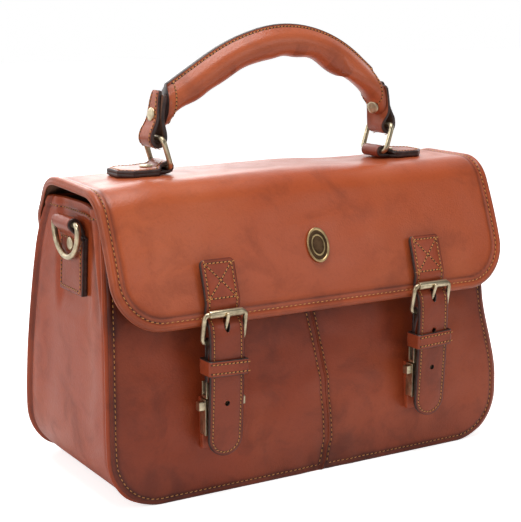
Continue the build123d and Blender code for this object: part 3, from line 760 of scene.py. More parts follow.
def makeSewing():
    # one tree lays a shape along rows: even spacing, turned to the row and to the leather
    tree = bpy.data.node_groups.new("sewing", "GeometryNodeTree")
    sockets = (
        ("Rows", "NodeSocketGeometry", None),
        ("Shape", "NodeSocketObject", None),
        ("Pitch", "NodeSocketFloat", 0.004),
        ("Shift", "NodeSocketFloat", 0.0),
        ("Slant", "NodeSocketFloat", 0.0),
        ("Seed", "NodeSocketInt", 5),
        ("Material", "NodeSocketMaterial", None),
    )
    ids = {}
    for label, kind, value in sockets:
        socket = tree.interface.new_socket(label, in_out="INPUT", socket_type=kind)
        if value is not None:
            socket.default_value = value
        ids[label] = socket.identifier
    tree.interface.new_socket("Geometry", in_out="OUTPUT", socket_type="NodeSocketGeometry")
    given = tree.nodes.new("NodeGroupInput").outputs
    curve = addNode(tree, "GeometryNodeMeshToCurve", Mesh=given["Rows"])
    even = addNode(
        tree, "GeometryNodeResampleCurve", {"mode": "LENGTH"}, Curve=curve.outputs[0], Length=given["Pitch"]
    )
    facing = addNode(tree, "GeometryNodeInputNamedAttribute", {"data_type": "FLOAT_VECTOR"}, Name="facing")
    way = tree.nodes.new("GeometryNodeInputTangent")
    alongRow = addNode(tree, "FunctionNodeAlignRotationToVector", {"axis": "X"}, Vector=way.outputs[0])
    upright = addNode(
        tree, "FunctionNodeAlignRotationToVector", {"axis": "Z", "pivot_axis": "X"},
        Rotation=alongRow.outputs[0], Vector=facing.outputs[0],
    )
    shape = addNode(tree, "GeometryNodeObjectInfo", Object=given["Shape"])
    laid = addNode(
        tree, "GeometryNodeInstanceOnPoints", Points=even.outputs[0], Instance=shape.outputs["Geometry"],
        Rotation=upright.outputs[0],
    )
    offset = addNode(tree, "ShaderNodeCombineXYZ", X=given["Shift"])
    moved = addNode(
        tree, "GeometryNodeTranslateInstances", Instances=laid.outputs[0], Translation=offset.outputs[0]
    )
    wobble = addNode(tree, "FunctionNodeRandomValue", {"data_type": "FLOAT"}, Seed=given["Seed"])
    wobble.inputs[2].default_value = 0.55
    wobble.inputs[3].default_value = 1.45
    tilt = addNode(
        tree, "ShaderNodeCombineXYZ", Z=mathNode(tree, "MULTIPLY", given["Slant"], wobble.outputs[1])
    )
    turned = addNode(
        tree, "GeometryNodeRotateInstances", Instances=moved.outputs[0], Rotation=tilt.outputs[0]
    )
    real = addNode(tree, "GeometryNodeRealizeInstances", Geometry=turned.outputs[0])
    painted = addNode(tree, "GeometryNodeSetMaterial", Geometry=real.outputs[0], Material=given["Material"])
    end = tree.nodes.new("NodeGroupOutput")
    tree.links.new(painted.outputs[0], end.inputs[0])
    return tree, ids


def sewRows(name, rows, shape, shift, slant, material):
    # the rows of one body as one plain mesh
    tree, ids = sewing
    parts = []
    for pitch in sorted({row[2] for row in rows}):
        points, normals, edges, start = [], [], [], 0
        for pts, up, own in rows:
            if own != pitch:
                continue
            points.append(pts / 1000)
            normals.append(up)
            edges += [(start + k, start + k + 1) for k in range(len(pts) - 1)]
            start += len(pts)
        mesh = bpy.data.meshes.new("rows")
        mesh.from_pydata(np.vstack(points).tolist(), edges, [])
        facing = mesh.attributes.new("facing", "FLOAT_VECTOR", "POINT")
        facing.data.foreach_set("vector", np.vstack(normals).astype(np.float32).ravel())
        holder = placed("rows", mesh)
        sew = holder.modifiers.new("sew", "NODES")
        sew.node_group = tree
        values = {"Shape": shape, "Pitch": pitch / 1000, "Shift": shift * pitch / 1000}
        values.update({"Slant": rad(slant), "Seed": 5, "Material": finish[material]})
        for label, value in values.items():
            sew[ids[label]] = value
        parts.append(settled(holder))
        bpy.data.objects.remove(holder)
    whole = bmesh.new()
    for part in parts:
        whole.from_mesh(part)
    mesh = bpy.data.meshes.new(name)
    whole.to_mesh(mesh)
    whole.free()
    mesh.materials.append(finish[material])
    mesh.shade_smooth()
    return placed(name, mesh)


sewing = makeSewing()
templates = {}
for label, (shapePoints, shapeFaces) in {"stitch": stitchShape(), "hole": holeShape()}.items():
    templates[label] = makeObject(label + "Template", shapePoints, shapeFaces, ["thread"])

bag = {
    "panel": 2.5,
    "frontFoot": -67.0,
    "frontRadius": 1115.0,
    "frontTop": 205.0,
    "frontLength": 206.2,
    "backFoot": 87.0,
    "backPieces": ((20.0, 0), (150.27, 12.3), (49.79, 25.7)),
    "footHalf": 172.0,
    "slope": 0.04,
    "widest": 55.0,
    "corner": 38.0,
    "top": 215.0,
    "seamIn": 4.6,
    "roll": 2.4,
    "swell": 1.1,
    "swellLeft": 4.2,
    "swellRight": 3.0,
    "swellBack": 4.0,
    "pinch": 9.5,
    "belly": ((0, 0.5), (40, 0.9), (90, 1.0), (150, 0.9), (190, 0.8), (216, 0.75)),
}
frontTurn = -math.degrees(math.asin(bag["frontTop"] / bag["frontRadius"]))
frontRun = arcRun((bag["frontFoot"], 0), 90, ((bag["frontLength"], frontTurn),))
backRun = arcRun((bag["backFoot"], 0), 90, bag["backPieces"])
frontLay = uprightLay(frontRun, 0, 1)
backLay = uprightLay(backRun, 0, -1)
bodyLays = [frontLay, backLay]
seamLine = ((0, 1.6), (24, 8), (72, 5), (127, -5), (205, -7))


def sideX(z):
    # half the bag's width at a height, apart from the rounded foot
    return bag["footHalf"] - bag["slope"] * np.maximum(z - bag["widest"], 0)


def halfWidth(z):
    z = np.asarray(z, float)
    return sideX(z) - rolledOff(z, bag["corner"])


def seamX(z):
    return np.interp(z, *np.array(seamLine).T)


def bellyAt(z):
    return np.interp(z, *np.array(bag["belly"]).T)


def panelDistance(z, x):
    return cornerDistance(z, sideX(z) - np.abs(x), bag["corner"])


def edgeRoll(distance):
    # a seam's rolled edge: it falls away at the rim and is drawn down by the stitches
    groove = bag["seamIn"]
    height = 0.35 * ridge(distance, groove - 2.2, 1.3) - 0.55 * ridge(distance, groove, 1.0)
    return height - 0.75 * rolledOff(distance, bag["roll"])


def frontHeight(z, x):
    distance = panelDistance(z, x)
    height = edgeRoll(distance) + bag["swell"] * softWaves(x, z, 11, 95) * smooth(4, 60, distance)
    height = height + 0.45 * softWaves(x, z, 12, 26) * smooth(6, 30, distance)
    away = np.abs(x - seamX(z))
    height = height + ridge(away, 0, 1.3) - 0.6 * ridge(away, 3.5, 1.0) - 0.8 * ridge(away, 0, 13)
    # puckers where the two halves gather at the foot of the seam
    pucker = ridge(z, 14, 16) * ridge(x, 6, 34)
    return gentle(height + 0.8 * pucker * np.sin((x + 0.6 * z) / 4.2), 2.2)


# darkening of the front panels: burnished seam grooves and edges, plus painted shade
def frontWearAndShade(s, x):
    distance = panelDistance(s, x)
    darkening = 0.55 * ridge(distance, 4.6, 2.0) + 0.35 * ridge(distance, 0, 2)
    away = np.abs(x - seamX(s))
    # painted shade: darker under the flap's edge, toward the panel's edges and foot and beside the middle
    # seam, over uneven patches
    shade = 0.34 * (0.5 + 0.5 * softWaves(x, s, 31, 120)) + 0.35 * ridge(distance, 0, 26)
    shade = shade + 0.3 * ridge(away, 0, 26) + 0.4 * ridge(s, 150, 34)
    return np.clip(darkening + 0.3 * ridge(away, 3.2, 1.8) + np.clip(shade, 0, 1), 0, 1)


def underTab(y, z):
    # one where a ring tab lies on the gusset, fading round it
    return smooth(33, 23, np.abs(y - 3.5)) * smooth(126, 144, z)


def fillOut(points):
    # the full bag's sides and back swell a little past the straight seams
    x, y, z = np.asarray(points, float).T
    belly = bellyAt(z)
    tabCalm = 1 - underTab(y, z) * (np.abs(x) > 140)
    side = np.where(x < 0, bag["swellLeft"], bag["swellRight"]) * smooth(60, 165, np.abs(x))
    moveX = np.sign(x) * side * belly * tabCalm
    # the right side is drawn in toward the front
    pinch = bag["pinch"] * smooth(50, 120, z) * smooth(178, 150, z)
    moveX = moveX - pinch * smooth(120, 172, x) * smooth(20, -60, y) * tabCalm
    moveY = bag["swellBack"] * smooth(20, 85, y) * belly
    return np.column_stack([x + moveX, y + moveY, z])


def reshapePiece(piece, change):
    # moves a piece's points, given and taken in millimetres
    co = np.zeros(len(piece.data.vertices) * 3)
    piece.data.vertices.foreach_get("co", co)
    piece.data.vertices.foreach_set("co", (change(co.reshape(-1, 3) * 1000) / 1000).ravel())


def makeFrontPanels():
    rows = spaced(0, frontRun["length"], 3.4, cornerMarks(bag["corner"], 22), (0.8, 2))
    for side, sign in sides.items():
        near = shares((0.5, 1, 1.6, 2.3, 3, 3.6, 4.3, 5.2, 6.5, 8, 10, 13), 165)
        marks = spaced(0, 1, 0.019, near, shares(borderMarks, 165))
        if sign < 0:
            marks = 1 - marks[::-1]
        low, high = (seamX, halfWidth) if sign > 0 else (lambda s: -halfWidth(s), seamX)
        piece = leatherSheet(
            f"front_panel_{side}_leather", frontLay, rows, low, high, marks, bag["panel"], "tanBody",
            height=frontHeight, edge=0.5, darkening=frontWearAndShade, rim="tanBody",
        )
        reshapePiece(piece, fillOut)
        settle(piece, "bag", "leather", f"front_panel_{side}")
    # rows round the outline and beside the middle seam
    theta = np.linspace(0, math.pi / 2, 24)
    inset, corner = bag["seamIn"], bag["corner"] - bag["seamIn"]
    for sign in sides.values():
        sideZ = np.linspace(198, bag["corner"], 60)
        flatX = bag["footHalf"] - bag["corner"]
        z = np.concatenate([sideZ, bag["corner"] - corner * np.sin(theta[1:]), [inset] * 50])
        footX = np.linspace(flatX, 12 if sign > 0 else 1, 51)[1:]
        x = np.concatenate([halfWidth(sideZ) - inset, flatX + corner * np.cos(theta[1:]), footX])
        addSeam("bag", frontLay, z, sign * x, frontHeight)
        zs = np.linspace(6, 200, 70)
        xs = seamX(zs) + sign * 3.5
        addSeam("bag", frontLay, zs, xs, frontHeight)
        addSeam("bag", backLay, z, sign * x, backHeight)


def backHeight(s, x):
    distance = panelDistance(s, x)
    height = edgeRoll(distance) + 1.4 * softWaves(x, s, 21, 110) * smooth(4, 60, distance)
    return gentle(height + 0.4 * softWaves(x, s, 22, 28) * smooth(6, 30, distance), 2.2)


def backDarkening(s, x):
    distance = panelDistance(s, x)
    # darker along the seam groove and toward the bottom
    low = 0.35 * smooth(140, 20, s) * (0.5 + 0.5 * softWaves(x, s, 32, 90))
    return np.clip(0.6 * ridge(distance, 4.6, 2.2) + low, 0, 1)


def makeBackPanel():
    rows = spaced(0, backRun["length"], 3.6, cornerMarks(bag["corner"], 22), (0.8, 2))
    marks = spaced(0, 1, 0.011, *[shares(borderMarks, 340)] * 2)
    low = lambda s: -halfWidth(s)
    piece = leatherSheet(
        "back_panel_leather", backLay, rows, low, halfWidth, marks, bag["panel"], "tanBody",
        height=backHeight, edge=0.5, darkening=backDarkening, rim="tanBody",
    )
    reshapePiece(piece, fillOut)
    settle(piece, "bag", "leather", "back_panel")


def frontY(z):
    z = np.minimum(z, bag["frontTop"])
    return bag["frontFoot"] + bag["frontRadius"] - np.sqrt(bag["frontRadius"] ** 2 - z**2)


def backY(z):
    pts = backRun["points"]
    return np.interp(z, pts[:, 1], pts[:, 0])


gusset = {
    "hem": 8.0, "foldY": -22.0, "lean": 0.3, "foldWide": 6.5, "foldDeep": 4.2, "sag": 1.2, "dropFront": 8.5,
    "dropFold": 2.2, "inside": 1.2,
}
gussetTurn = (math.pi / 2 * bag["corner"], 90)
gussetFoot = 2 * (bag["footHalf"] - bag["corner"])
gussetStart = (bag["slope"] * (bag["top"] - bag["widest"]) - bag["footHalf"], bag["top"])
gussetSlope = 2.29
gussetSide = ((159.63, 0), (1, gussetSlope), (16.5, 0))
gussetPieces = (*gussetSide, gussetTurn, (gussetFoot, 0), gussetTurn, *gussetSide[::-1])
gussetRun = arcRun(gussetStart, -90 - gussetSlope, gussetPieces)
gussetLay = makeLay(gussetRun, (0, 0, 0), (1, 0, 0), (0, 0, 1), (0, 1, 0), -1)


def gussetZ(s):
    return onRun(gussetRun, s)[0][..., 1]


def gussetLow(s):
    return frontY(gussetZ(s)) + gusset["inside"]


def gussetHigh(s):
    return backY(np.minimum(gussetZ(s), 213.8)) - gusset["inside"]


def gussetHeight(s, y):
    z = gussetZ(s)
    front, back = y - gussetLow(s), gussetHigh(s) - y
    near = np.minimum(front, back)
    onSide = smooth(6, 60, z)
    height = 1.9 * ridge(near, 1.8, 2.4) - 1.3 * ridge(near, 6.0, 2.0)
    height = height - gusset["sag"] * onSide * smooth(2, 40, near) * (0.55 + 0.45 * np.sin(z / 60))
    foldY = gusset["foldY"] - gusset["lean"] * (205 - z)
    fold = ridge(y, foldY, gusset["foldWide"]) * smooth(128, 165, z)
    ripple = ridge(y, foldY + 11, 7) * smooth(150, 215, z)
    side = np.sign(onRun(gussetRun, s)[0][..., 0])
    height = height - gusset["foldDeep"] * fold * (1 - 0.25 * side) + 3.0 * ripple
    height = height + 2.4 * ridge(y, foldY - 9, 6) * smooth(120, 160, z)
    height = height + 1.0 * softWaves(y, s, 41, 60) * onSide * smooth(4, 30, near)
    height = height * (1 - underTab(y, z))
    down, hem = bag["top"] - z, gusset["hem"]
    height = height - 0.6 * ridge(down, hem, 1.1) * smooth(130, 140, z) + 0.45 * ridge(down, hem - 4, 3)
    return gentle(height, 1.9) * smooth(0, 12, z)


def gussetWearAndShade(s, y):
    z = gussetZ(s)
    near = np.minimum(y - gussetLow(s), gussetHigh(s) - y)
    # painted shade along the fold's valley; the seam groove and hem lines are burnished
    fold = ridge(y, gusset["foldY"] - gusset["lean"] * (205 - z), 5) * smooth(128, 165, z)
    hem = ridge(bag["top"] - z, gusset["hem"], 1.8)
    return np.clip(0.75 * ridge(near, 5.4, 2.2) + 0.75 * fold + 0.4 * hem, 0, 1)


def slopeTop(points):
    # the top edge slopes down to the front panel, stays level behind and dips at the fold
    x, y, z = points.T
    high = smooth(150, bag["top"], z)
    drop = (gusset["dropFront"] * smooth(-36, -47, y) + 1.4 * smooth(40, 50, y)) * high
    drop = drop + gusset["dropFold"] * ridge(y, gusset["foldY"], 9) * smooth(170, bag["top"], z)
    return np.column_stack([x, y, z - drop])


def makeGusset():
    total = gussetRun["length"]
    rows = spaced(0, total, 3.4, borderMarks, borderMarks)
    marks = spaced(0, 1, 0.022, *[shares(borderMarks, 140)] * 2)
    piece = leatherSheet(
        "gusset_leather", gussetLay, rows, gussetLow, gussetHigh, marks, bag["panel"], "tanGusset",
        height=gussetHeight, edge=0.7, darkening=gussetWearAndShade, rim="tanGusset",
    )
    reshapePiece(piece, slopeTop)
    reshapePiece(piece, fillOut)
    settle(piece, "bag", "leather", "gusset")
    for s0 in (gusset["hem"], total - gusset["hem"]):
        y = np.linspace(-43, 46, 60)
        pts, normal = onLay(gussetLay, s0, y, gussetHeight(s0, y) + 0.1)
        pts[:, 2] -= gusset["dropFront"] * smooth(-36, -47, y) * 0.95
        pts[:, 2] -= gusset["dropFold"] * ridge(y, gusset["foldY"], 9) * 0.9
        addRow("bag", fillOut(pts), normal)


lining = {"gap": 4.6, "thickness": 1.0, "top": 200.5, "bottom": 2.7, "round": 7.0}


def makeLining():
    # a thin open bag of loops, outer wall up and inner wall down again
    def loopAt(z, inset):
        half = halfWidth(np.array(max(z - (inset - lining["gap"]), 0.0) if z > 0 else 0.0)) - inset
        front, back = frontY(np.array(z)) + inset, backY(np.array(z)) - inset
        middle, deep = (front + back) / 2, (back - front) / 2
        loop = []
        corners = roundedLoop(float(half), float(deep), min(lining["round"], float(deep) - 1), 5)
        for a, b in zip(corners, np.roll(corners, -1, 0)):
            count = max(1, int(np.hypot(*(b - a)) / 9))
            loop += [a + (b - a) * k / count for k in range(count)]
        loop = np.array(loop)
        return np.column_stack([loop[:, 0], loop[:, 1] + float(middle), np.full(len(loop), z)])

    heights = spaced(lining["bottom"], lining["top"], 6, cornerMarks(34, 12))
    outerLoops = [loopAt(z, lining["gap"]) for z in heights]
    count = min(len(loop) for loop in outerLoops)

    def even(loop):
        closed = np.vstack([loop, loop[:1]])
        along = np.concatenate([[0], np.cumsum(np.linalg.norm(np.diff(closed, axis=0), axis=1))])
        marks = np.arange(count) / count * along[-1]
        return np.column_stack([np.interp(marks, along, closed[:, k]) for k in range(3)])

    outerLoops = [even(loop) for loop in outerLoops]
    innerLoops = []
    for z, outer in zip(heights, outerLoops):
        middle = outer.mean(0)
        way = middle - outer
        way[:, 2] = 0
        way /= np.linalg.norm(way, axis=1, keepdims=True)
        wrinkle = 0.5 + 0.5 * softWaves(outer[:, 0] + outer[:, 1], outer[:, 2], 51, 40)
        inner = outer + way * (lining["thickness"] + wrinkle * smooth(10, 60, z))[:, None]
        inner[:, 2] = max(z, lining["bottom"] + lining["thickness"]) if z < 5 else z
        innerLoops.append(inner)
    stack = outerLoops + innerLoops[::-1]
    points = np.vstack(stack)
    index = np.arange(len(points)).reshape(len(stack), count)
    faces = [tuple(f) for a, b in zip(index[:-1], index[1:]) for f in loopFaces(a, b)]
    faces += [tuple(index[0]), tuple(index[-1])]
    piece = makeObject("lining_cloth", points, faces, ["liningCloth"], sharp=50)
    reshapePiece(piece, fillOut)
    settle(piece, "bag", "dark_lining", "lining")


makeFrontPanels()
makeBackPanel()
makeGusset()
makeLining()
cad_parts["base_board"].data.materials.clear()
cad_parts["base_board"].data.materials.append(finish["board"])
print("bag body made")

flap = {
    "half": 173.5,
    "corner": 38.0,
    "thickness": 3.0,
    "curl": ((41.69, 20.95), (35.4, 52.0), (46.6, 0), (31.42, 65.0), (88.6, 12.09)),
    "start": (71.49, 178.88),
    "heading": 107.05,
    "seamIn": 6.0,
    "crease": 9.6,
    "tuck": 5.6,
    "roll": 3.0,
    "spread": 5.0,
    "droop": 4.0,
    "tailSeam": 6.0,
}
arcCentre = (330.5, 37.15)  # of the flap's front, as y and z


def frontArc(z, radius):
    # y on an arc about the flap's front centre
    return arcCentre[0] - math.sqrt(radius**2 - (z - arcCentre[1]) ** 2)


flapRun = arcRun(flap["start"], flap["heading"], flap["curl"])
flapLay = uprightLay(flapRun, 0, -1)
flapLength = flapRun["length"]
# where the leather bends between two bodies, from one place to the other in metres
bends = {"flapBend": {"from": "bag", "to": "flap", "start": (0, 0.064, 0.205), "end": (0, 0.038, 0.215)}}
for side in sides:
    ends = {"start": (0, -0.079, 0.143), "end": (0, -0.0825, 0.133)}
    bends[f"strapBend_{side}"] = {"from": "flap", "to": f"strap_{side}", **ends}


def flapHalf(s):
    tuck = flap["tuck"] * (1 - smooth(28, 78, s))
    return flap["half"] - rolledOff(flapLength - np.asarray(s, float), flap["corner"]) - tuck


def flapDistance(s, x):
    plain = flap["half"] - flap["tuck"] * (1 - smooth(28, 78, s))
    front = cornerDistance(flapLength - s, plain - np.abs(x), flap["corner"])
    return np.minimum(front, np.where(s < 30, s, 1e3))


def flapHeight(s, x):
    distance = flapDistance(s, x)
    height = 0.9 * ridge(distance, 3.2, 2.2) - 0.8 * rolledOff(distance, flap["roll"])
    height = height - 0.55 * ridge(distance, flap["seamIn"], 0.9)
    height = height - 0.7 * ridge(distance, flap["crease"], 1.2)
    swell = softWaves(x, s, 61, 120) * smooth(10, 60, distance)
    small = softWaves(x, s, 62, 30) * smooth(10, 30, distance) * 0.22
    # calm where the handle bases and strap ends are sewn down
    calm = ridge(np.abs(x), 122, 34) * ridge(s, 96, 26)
    calm = np.maximum(calm, ridge(np.abs(x), 92.5, 26) * smooth(195, 215, s))
    return height + (swell + small) * (1 - 0.95 * calm)


# darkening of the flap: burnished seam and crease lines and edges, plus painted shade on its front
def flapWearAndShade(s, x):
    distance = flapDistance(s, x)
    darkening = 0.6 * ridge(distance, flap["seamIn"], 1.4) + 0.8 * ridge(distance, flap["crease"], 1.1)
    # painted shade: the flap's front darkens toward its lower edge, in uneven patches
    front = 0.3 * smooth(215, 244, s) * (0.5 + 0.5 * softWaves(x, s, 63, 60))
    return np.clip(darkening + 0.3 * ridge(distance, 0, 2) + front, 0, 1)


def hangFlap(points):
    # the left end spreads toward the back and its front shoulder hangs lower
    x, y, z = np.asarray(points, float).T
    end = smooth(-120, -173, x)
    moveX = flap["spread"] * end * smooth(-25, 60, y) * smooth(176, 200, z)
    drop = flap["droop"] * end * ridge(y, -34, 46) * smooth(150, 215, z)
    # its tail lies on the swollen back
    belly = bellyAt(z) * smooth(240, 212, z)
    moveY = (bag["swellBack"] + 0.8) * smooth(20, 85, y) * belly
    return np.column_stack([x - moveX, y + moveY, z - drop])


def makeFlap():
    rows = spaced(0, flapLength, 2.7, borderMarks[:8], cornerMarks(flap["corner"], 26))
    marks = spaced(0, 1, 0.0085, *[shares(borderMarks, 347)] * 2)
    low = lambda s: -flapHalf(s)
    piece = leatherSheet(
        "flap_leather", flapLay, rows, low, flapHalf, marks, flap["thickness"], "tanFlap",
        height=flapHeight, edge=1.0, darkening=flapWearAndShade, rim="tanFlap",
    )
    reshapePiece(piece, hangFlap)
    settle(piece, bends["flapBend"], "leather", "flap", "flap_tail")
    inset, corner = flap["seamIn"], flap["corner"] - flap["seamIn"]
    theta = np.linspace(0, math.pi / 2, 30)
    sideS = np.linspace(6, flapLength - flap["corner"], 110)
    s = np.concatenate([sideS, flapLength - flap["corner"] + corner * np.sin(theta[1:])])
    turnX = flap["half"] - flap["corner"] + corner * np.cos(theta[1:])
    x = np.concatenate([flapHalf(sideS) - inset, turnX])
    across = np.linspace(x[-1], -x[-1], 160)
    s = np.concatenate([s, np.full(159, s[-1]), s[::-1][1:]])
    x = np.concatenate([x, across[1:], -x[::-1][1:]])
    addSeam("flapBend", flapLay, s, x, flapHeight)
    reach = flapHalf(flap["tailSeam"]) - inset
    across = np.linspace(-reach, reach, 120)
    addSeam("flapBend", flapLay, np.full(120, flap["tailSeam"]), across, flapHeight)


makeFlap()
print("flap made")

strap = {
    "x": 92.5, "half": 14.0, "thickness": 3.0, "top": 177.5, "topCorner": 4.0, "seamIn": 2.9,
    "boxTop": 174.5, "boxLow": 150.5, "darkFrom": 30.0, "arc": 423.1, "over": 2.95, "holeY": -84,
    "holes": (74, 104), "slot": 131.8,
}
strapPoints = [(frontArc(z, strap["arc"]) - strap["over"], z) for z in (strap["top"], 168, 161, 154, 147.5)]
strapPoints += [
    (-80.2, 140.5), (-81.2, 136.8), (-84.9, 132.6), (-86.6, 126.5), (-86.8, 118), (-86.75, 104),
    (-85.5, 74), (-83.0, 34),
]
strapRun = throughRun(strapPoints)
strapLength = strapRun["length"]


def strapHalf(s):
    s = np.asarray(s, float)
    ends = rolledOff(s, strap["topCorner"]) + rolledOff(strapLength - s, strap["half"])
    return strap["half"] - ends + 0.02


def strapDistance(s, w):
    top = cornerDistance(s, strap["half"] - np.abs(w), strap["topCorner"])
    tip = cornerDistance(strapLength - s, strap["half"] - np.abs(w), strap["half"])
    return np.minimum(top, tip)


def strapHeight(s, w):
    distance = strapDistance(s, w)
    height = -0.45 * ridge(distance, 0, 1.0) - 0.3 * ridge(distance, strap["seamIn"], 0.7)
    return height + 0.35 * smooth(2.5, 9, distance) + 0.18 * softWaves(w, s, 71, 22)


def strapWear(s, w):
    distance = strapDistance(s, w)
    worn = 0.4 * smooth(strap["darkFrom"], strap["darkFrom"] + 14, s)
    worn = worn + 0.35 * ridge(distance, strap["seamIn"], 1.0)
    return np.clip(worn + 0.75 * ridge(distance, 0, 1.4), 0, 1)


def tailOf(z):
    return whereOnRun(strapRun, 1, z)


def cylinderAt(centre, radius, axis, half, stretch=1.0, count=20):
    axis = np.array(axis, float)
    origin = np.array(centre, float) - axis * half
    return discMesh([(radius, 0), (radius, 2 * half)], origin, axis, (0, 0, 1), stretch, 1.0, count)


def makeStraps():
    for side, sign in sides.items():
        lay = uprightLay(strapRun, sign * strap["x"], 1)
        faceOut(lay, 20.0, 1, -1)
        topMarks, tipMarks = cornerMarks(strap["topCorner"], 7) + [5, 6], cornerMarks(strap["half"], 18)
        rows = spaced(0, strapLength, 1.6, topMarks, tipMarks)
        marks = spaced(0, 1, 0.06, *[shares(narrowMarks, 28)] * 2)
        low = lambda s: -strapHalf(s)
        piece = leatherSheet(
            f"strap_{side}_leather", lay, rows, low, strapHalf, marks, strap["thickness"], "tanStrap",
            height=strapHeight, edge=0.9, darkening=strapWear,
        )
        # the round holes, and the long one that the prong passes
        x, y = sign * strap["x"], strap["holeY"]
        holes = [cylinderAt((x, y, z), 2.0, (0, 1, 0), 9) for z in strap["holes"]]
        holes.append(cylinderAt((x, y, strap["slot"]), 2.4, (0, 1, 0), 12, 2.2))
        withHoles(piece, holes)
        settle(piece, bends[f"strapBend_{side}"], "leather", f"strap_upper_{side}", f"strap_tail_{side}")
        sewStrap(side, lay)


def sewStrap(side, lay):
    inset = strap["half"] - strap["seamIn"]
    body = f"strapBend_{side}"
    topS, lowS = tailOf(strap["boxTop"]), tailOf(strap["boxLow"])
    box = [(topS, -inset), (topS, inset), (lowS, inset), (lowS, -inset), (topS, -inset)]
    lines = [(a, b) for a, b in zip(box[:-1], box[1:])]
    lines += [(box[0], box[2]), (box[1], box[3])]
    for (s0, w0), (s1, w1) in lines:
        s, w = np.linspace(s0, s1, 26), np.linspace(w0, w1, 26)
        addSeam(body, lay, s, w, strapHeight, stitch["fine"])
    endS = strapLength - strap["half"]
    theta = np.linspace(0, math.pi / 2, 16)
    s = np.concatenate([np.linspace(lowS + 3, endS, 90), endS + inset * np.sin(theta[1:])])
    w = np.concatenate([np.full(90, inset), inset * np.cos(theta[1:])])
    s, w = np.concatenate([s, s[::-1][1:]]), np.concatenate([w, -w[::-1][1:]])
    addSeam(body, lay, s, w, strapHeight, stitch["fine"])


buckle = {
    "rollerY": -83.4, "rollerZ": 140.0, "roller": 2.9, "rollerHalf": 13.5, "pivotY": -79.5, "pivotZ": 119.0,
    "wire": 1.75, "half": 16.75, "corner": 3.4,
}


def makeBuckles():
    high = (buckle["rollerY"], buckle["rollerZ"])
    up, middle, halfHigh = between((buckle["pivotY"], buckle["pivotZ"]), high)
    for side, sign in sides.items():
        x = sign * strap["x"]
        loop = roundedLoop(buckle["half"], halfHigh, buckle["corner"], 8)
        place = middle + up * loop[:, 1:2]
        path = np.column_stack([x + loop[:, 0], place])
        across = np.array([0, up[1], -up[0]])
        tube = tubeMesh(path, buckle["wire"], True, 16, across)
        piece = makeObject(f"buckle_frame_{side}_wire", *tube, ["antiqueBrass"])
        settle(piece, f"strap_{side}", "brass", f"buckle_frame_{side}")
        half, r = buckle["rollerHalf"], buckle["roller"]
        end = [(1.85, 0.0), (r - 0.5, 0.0), (r - 0.12, 0.15), (r, 0.6)]
        profile = end + [(radius, 2 * half - along) for radius, along in end[::-1]] + end[:1]
        # the tube's ends stay open, as its profile closes on itself
        points, faces = discMesh(profile, (x - half, *high), (1, 0, 0), (0, 0, 1))
        faces = faces[:-2]
        shell = makeObject(f"buckle_roller_{side}_tube", points, faces, ["antiqueBrass"], sharp=40)
        settle(shell, f"roller_{side}", "brass", f"buckle_roller_{side}")
        fromNode(f"buckle_prong_{side}", 0.25, "antiqueBrass", f"prong_{side}", "brass")


def evenly(values, count):
    # the same broken line with count points
    return np.interp(np.linspace(0, len(values) - 1, count), np.arange(len(values)), values)


def stripWidth(*pairs):
    # half the width of a strip along it, from (distance, half width) pairs
    marks, halves = zip(*pairs)
    return lambda s: np.interp(s, marks, halves)


def makeStrip(name, lay, thickness, half, leather, body, nodes, seamAt=None, turns=(), gap=1.6):
    run = lay["run"]
    rows = spaced(0, run["length"], gap, (0.5, 1.2, 2, 3), (0.5, 1.2, 2, 3))
    if turns:
        rows = np.unique(np.round(np.concatenate([rows, turns]), 4))
    marks = spaced(0, 1, 0.08, (0.025, 0.06, 0.1), (0.025, 0.06, 0.1))

    def height(s, w):
        away = half(s) - np.abs(w)
        lift = -0.3 * ridge(away, 0, 0.9) + 0.12 * softWaves(w, s, len(name), 18)
        return lift - (0.25 * ridge(away, seamAt, 0.7) if seamAt else 0)

    def darkening(s, w):
        return np.clip(0.7 * ridge(half(s) - np.abs(w), 0, 1.6) + 0.25, 0, 1) * 0.8

    low = lambda s: -half(s)
    piece = leatherSheet(
        name, lay, rows, low, half, marks, thickness, leather, height=height, edge=0.6, darkening=darkening
    )
    settle(piece, body, "leather", *nodes)
    return piece


chape = {"half": 13.0, "thickness": 2.1, "bottom": 80, "turn": 4.15, "behind": 4.5}


def makeChapes():
    y, z = buckle["pivotY"], buckle["pivotZ"]
    bottom, behind = chape["bottom"], chape["behind"]
    points = [(y + 0.3, bottom), (y + 0.3, 92), (y + 0.2, 104), (y - 1.6, 111)]
    points += arcPoints((y, z), chape["turn"], np.arange(190, -20, -15))
    points += [(y + behind, 104), (y + behind, 92), (y + behind, bottom)]
    run = throughRun(points)
    half = stripWidth((0, chape["half"]), (200, chape["half"]))
    for side, sign in sides.items():
        lay = uprightLay(run, sign * strap["x"], 1)
        faceOut(lay, 5.0, 1, -1)
        body, thick = f"strap_{side}", chape["thickness"]
        piece = makeStrip(f"chape_{side}_leather", lay, thick, half, "tanStrap", body, [f"chape_{side}"])
        withHoles(piece, [cylinderAt((sign * strap["x"], y, z + 2.8), 2.2, (0, 1, 0), 7, 3.0)])


keeper = {
    "high": 11.5, "thickness": 2.0, "halfX": 16.4, "front": -89.45, "back": -72.6, "corner": 2.6,
    "at": {"left": 101.0, "right": 97.0}, "lean": 0.04,
}


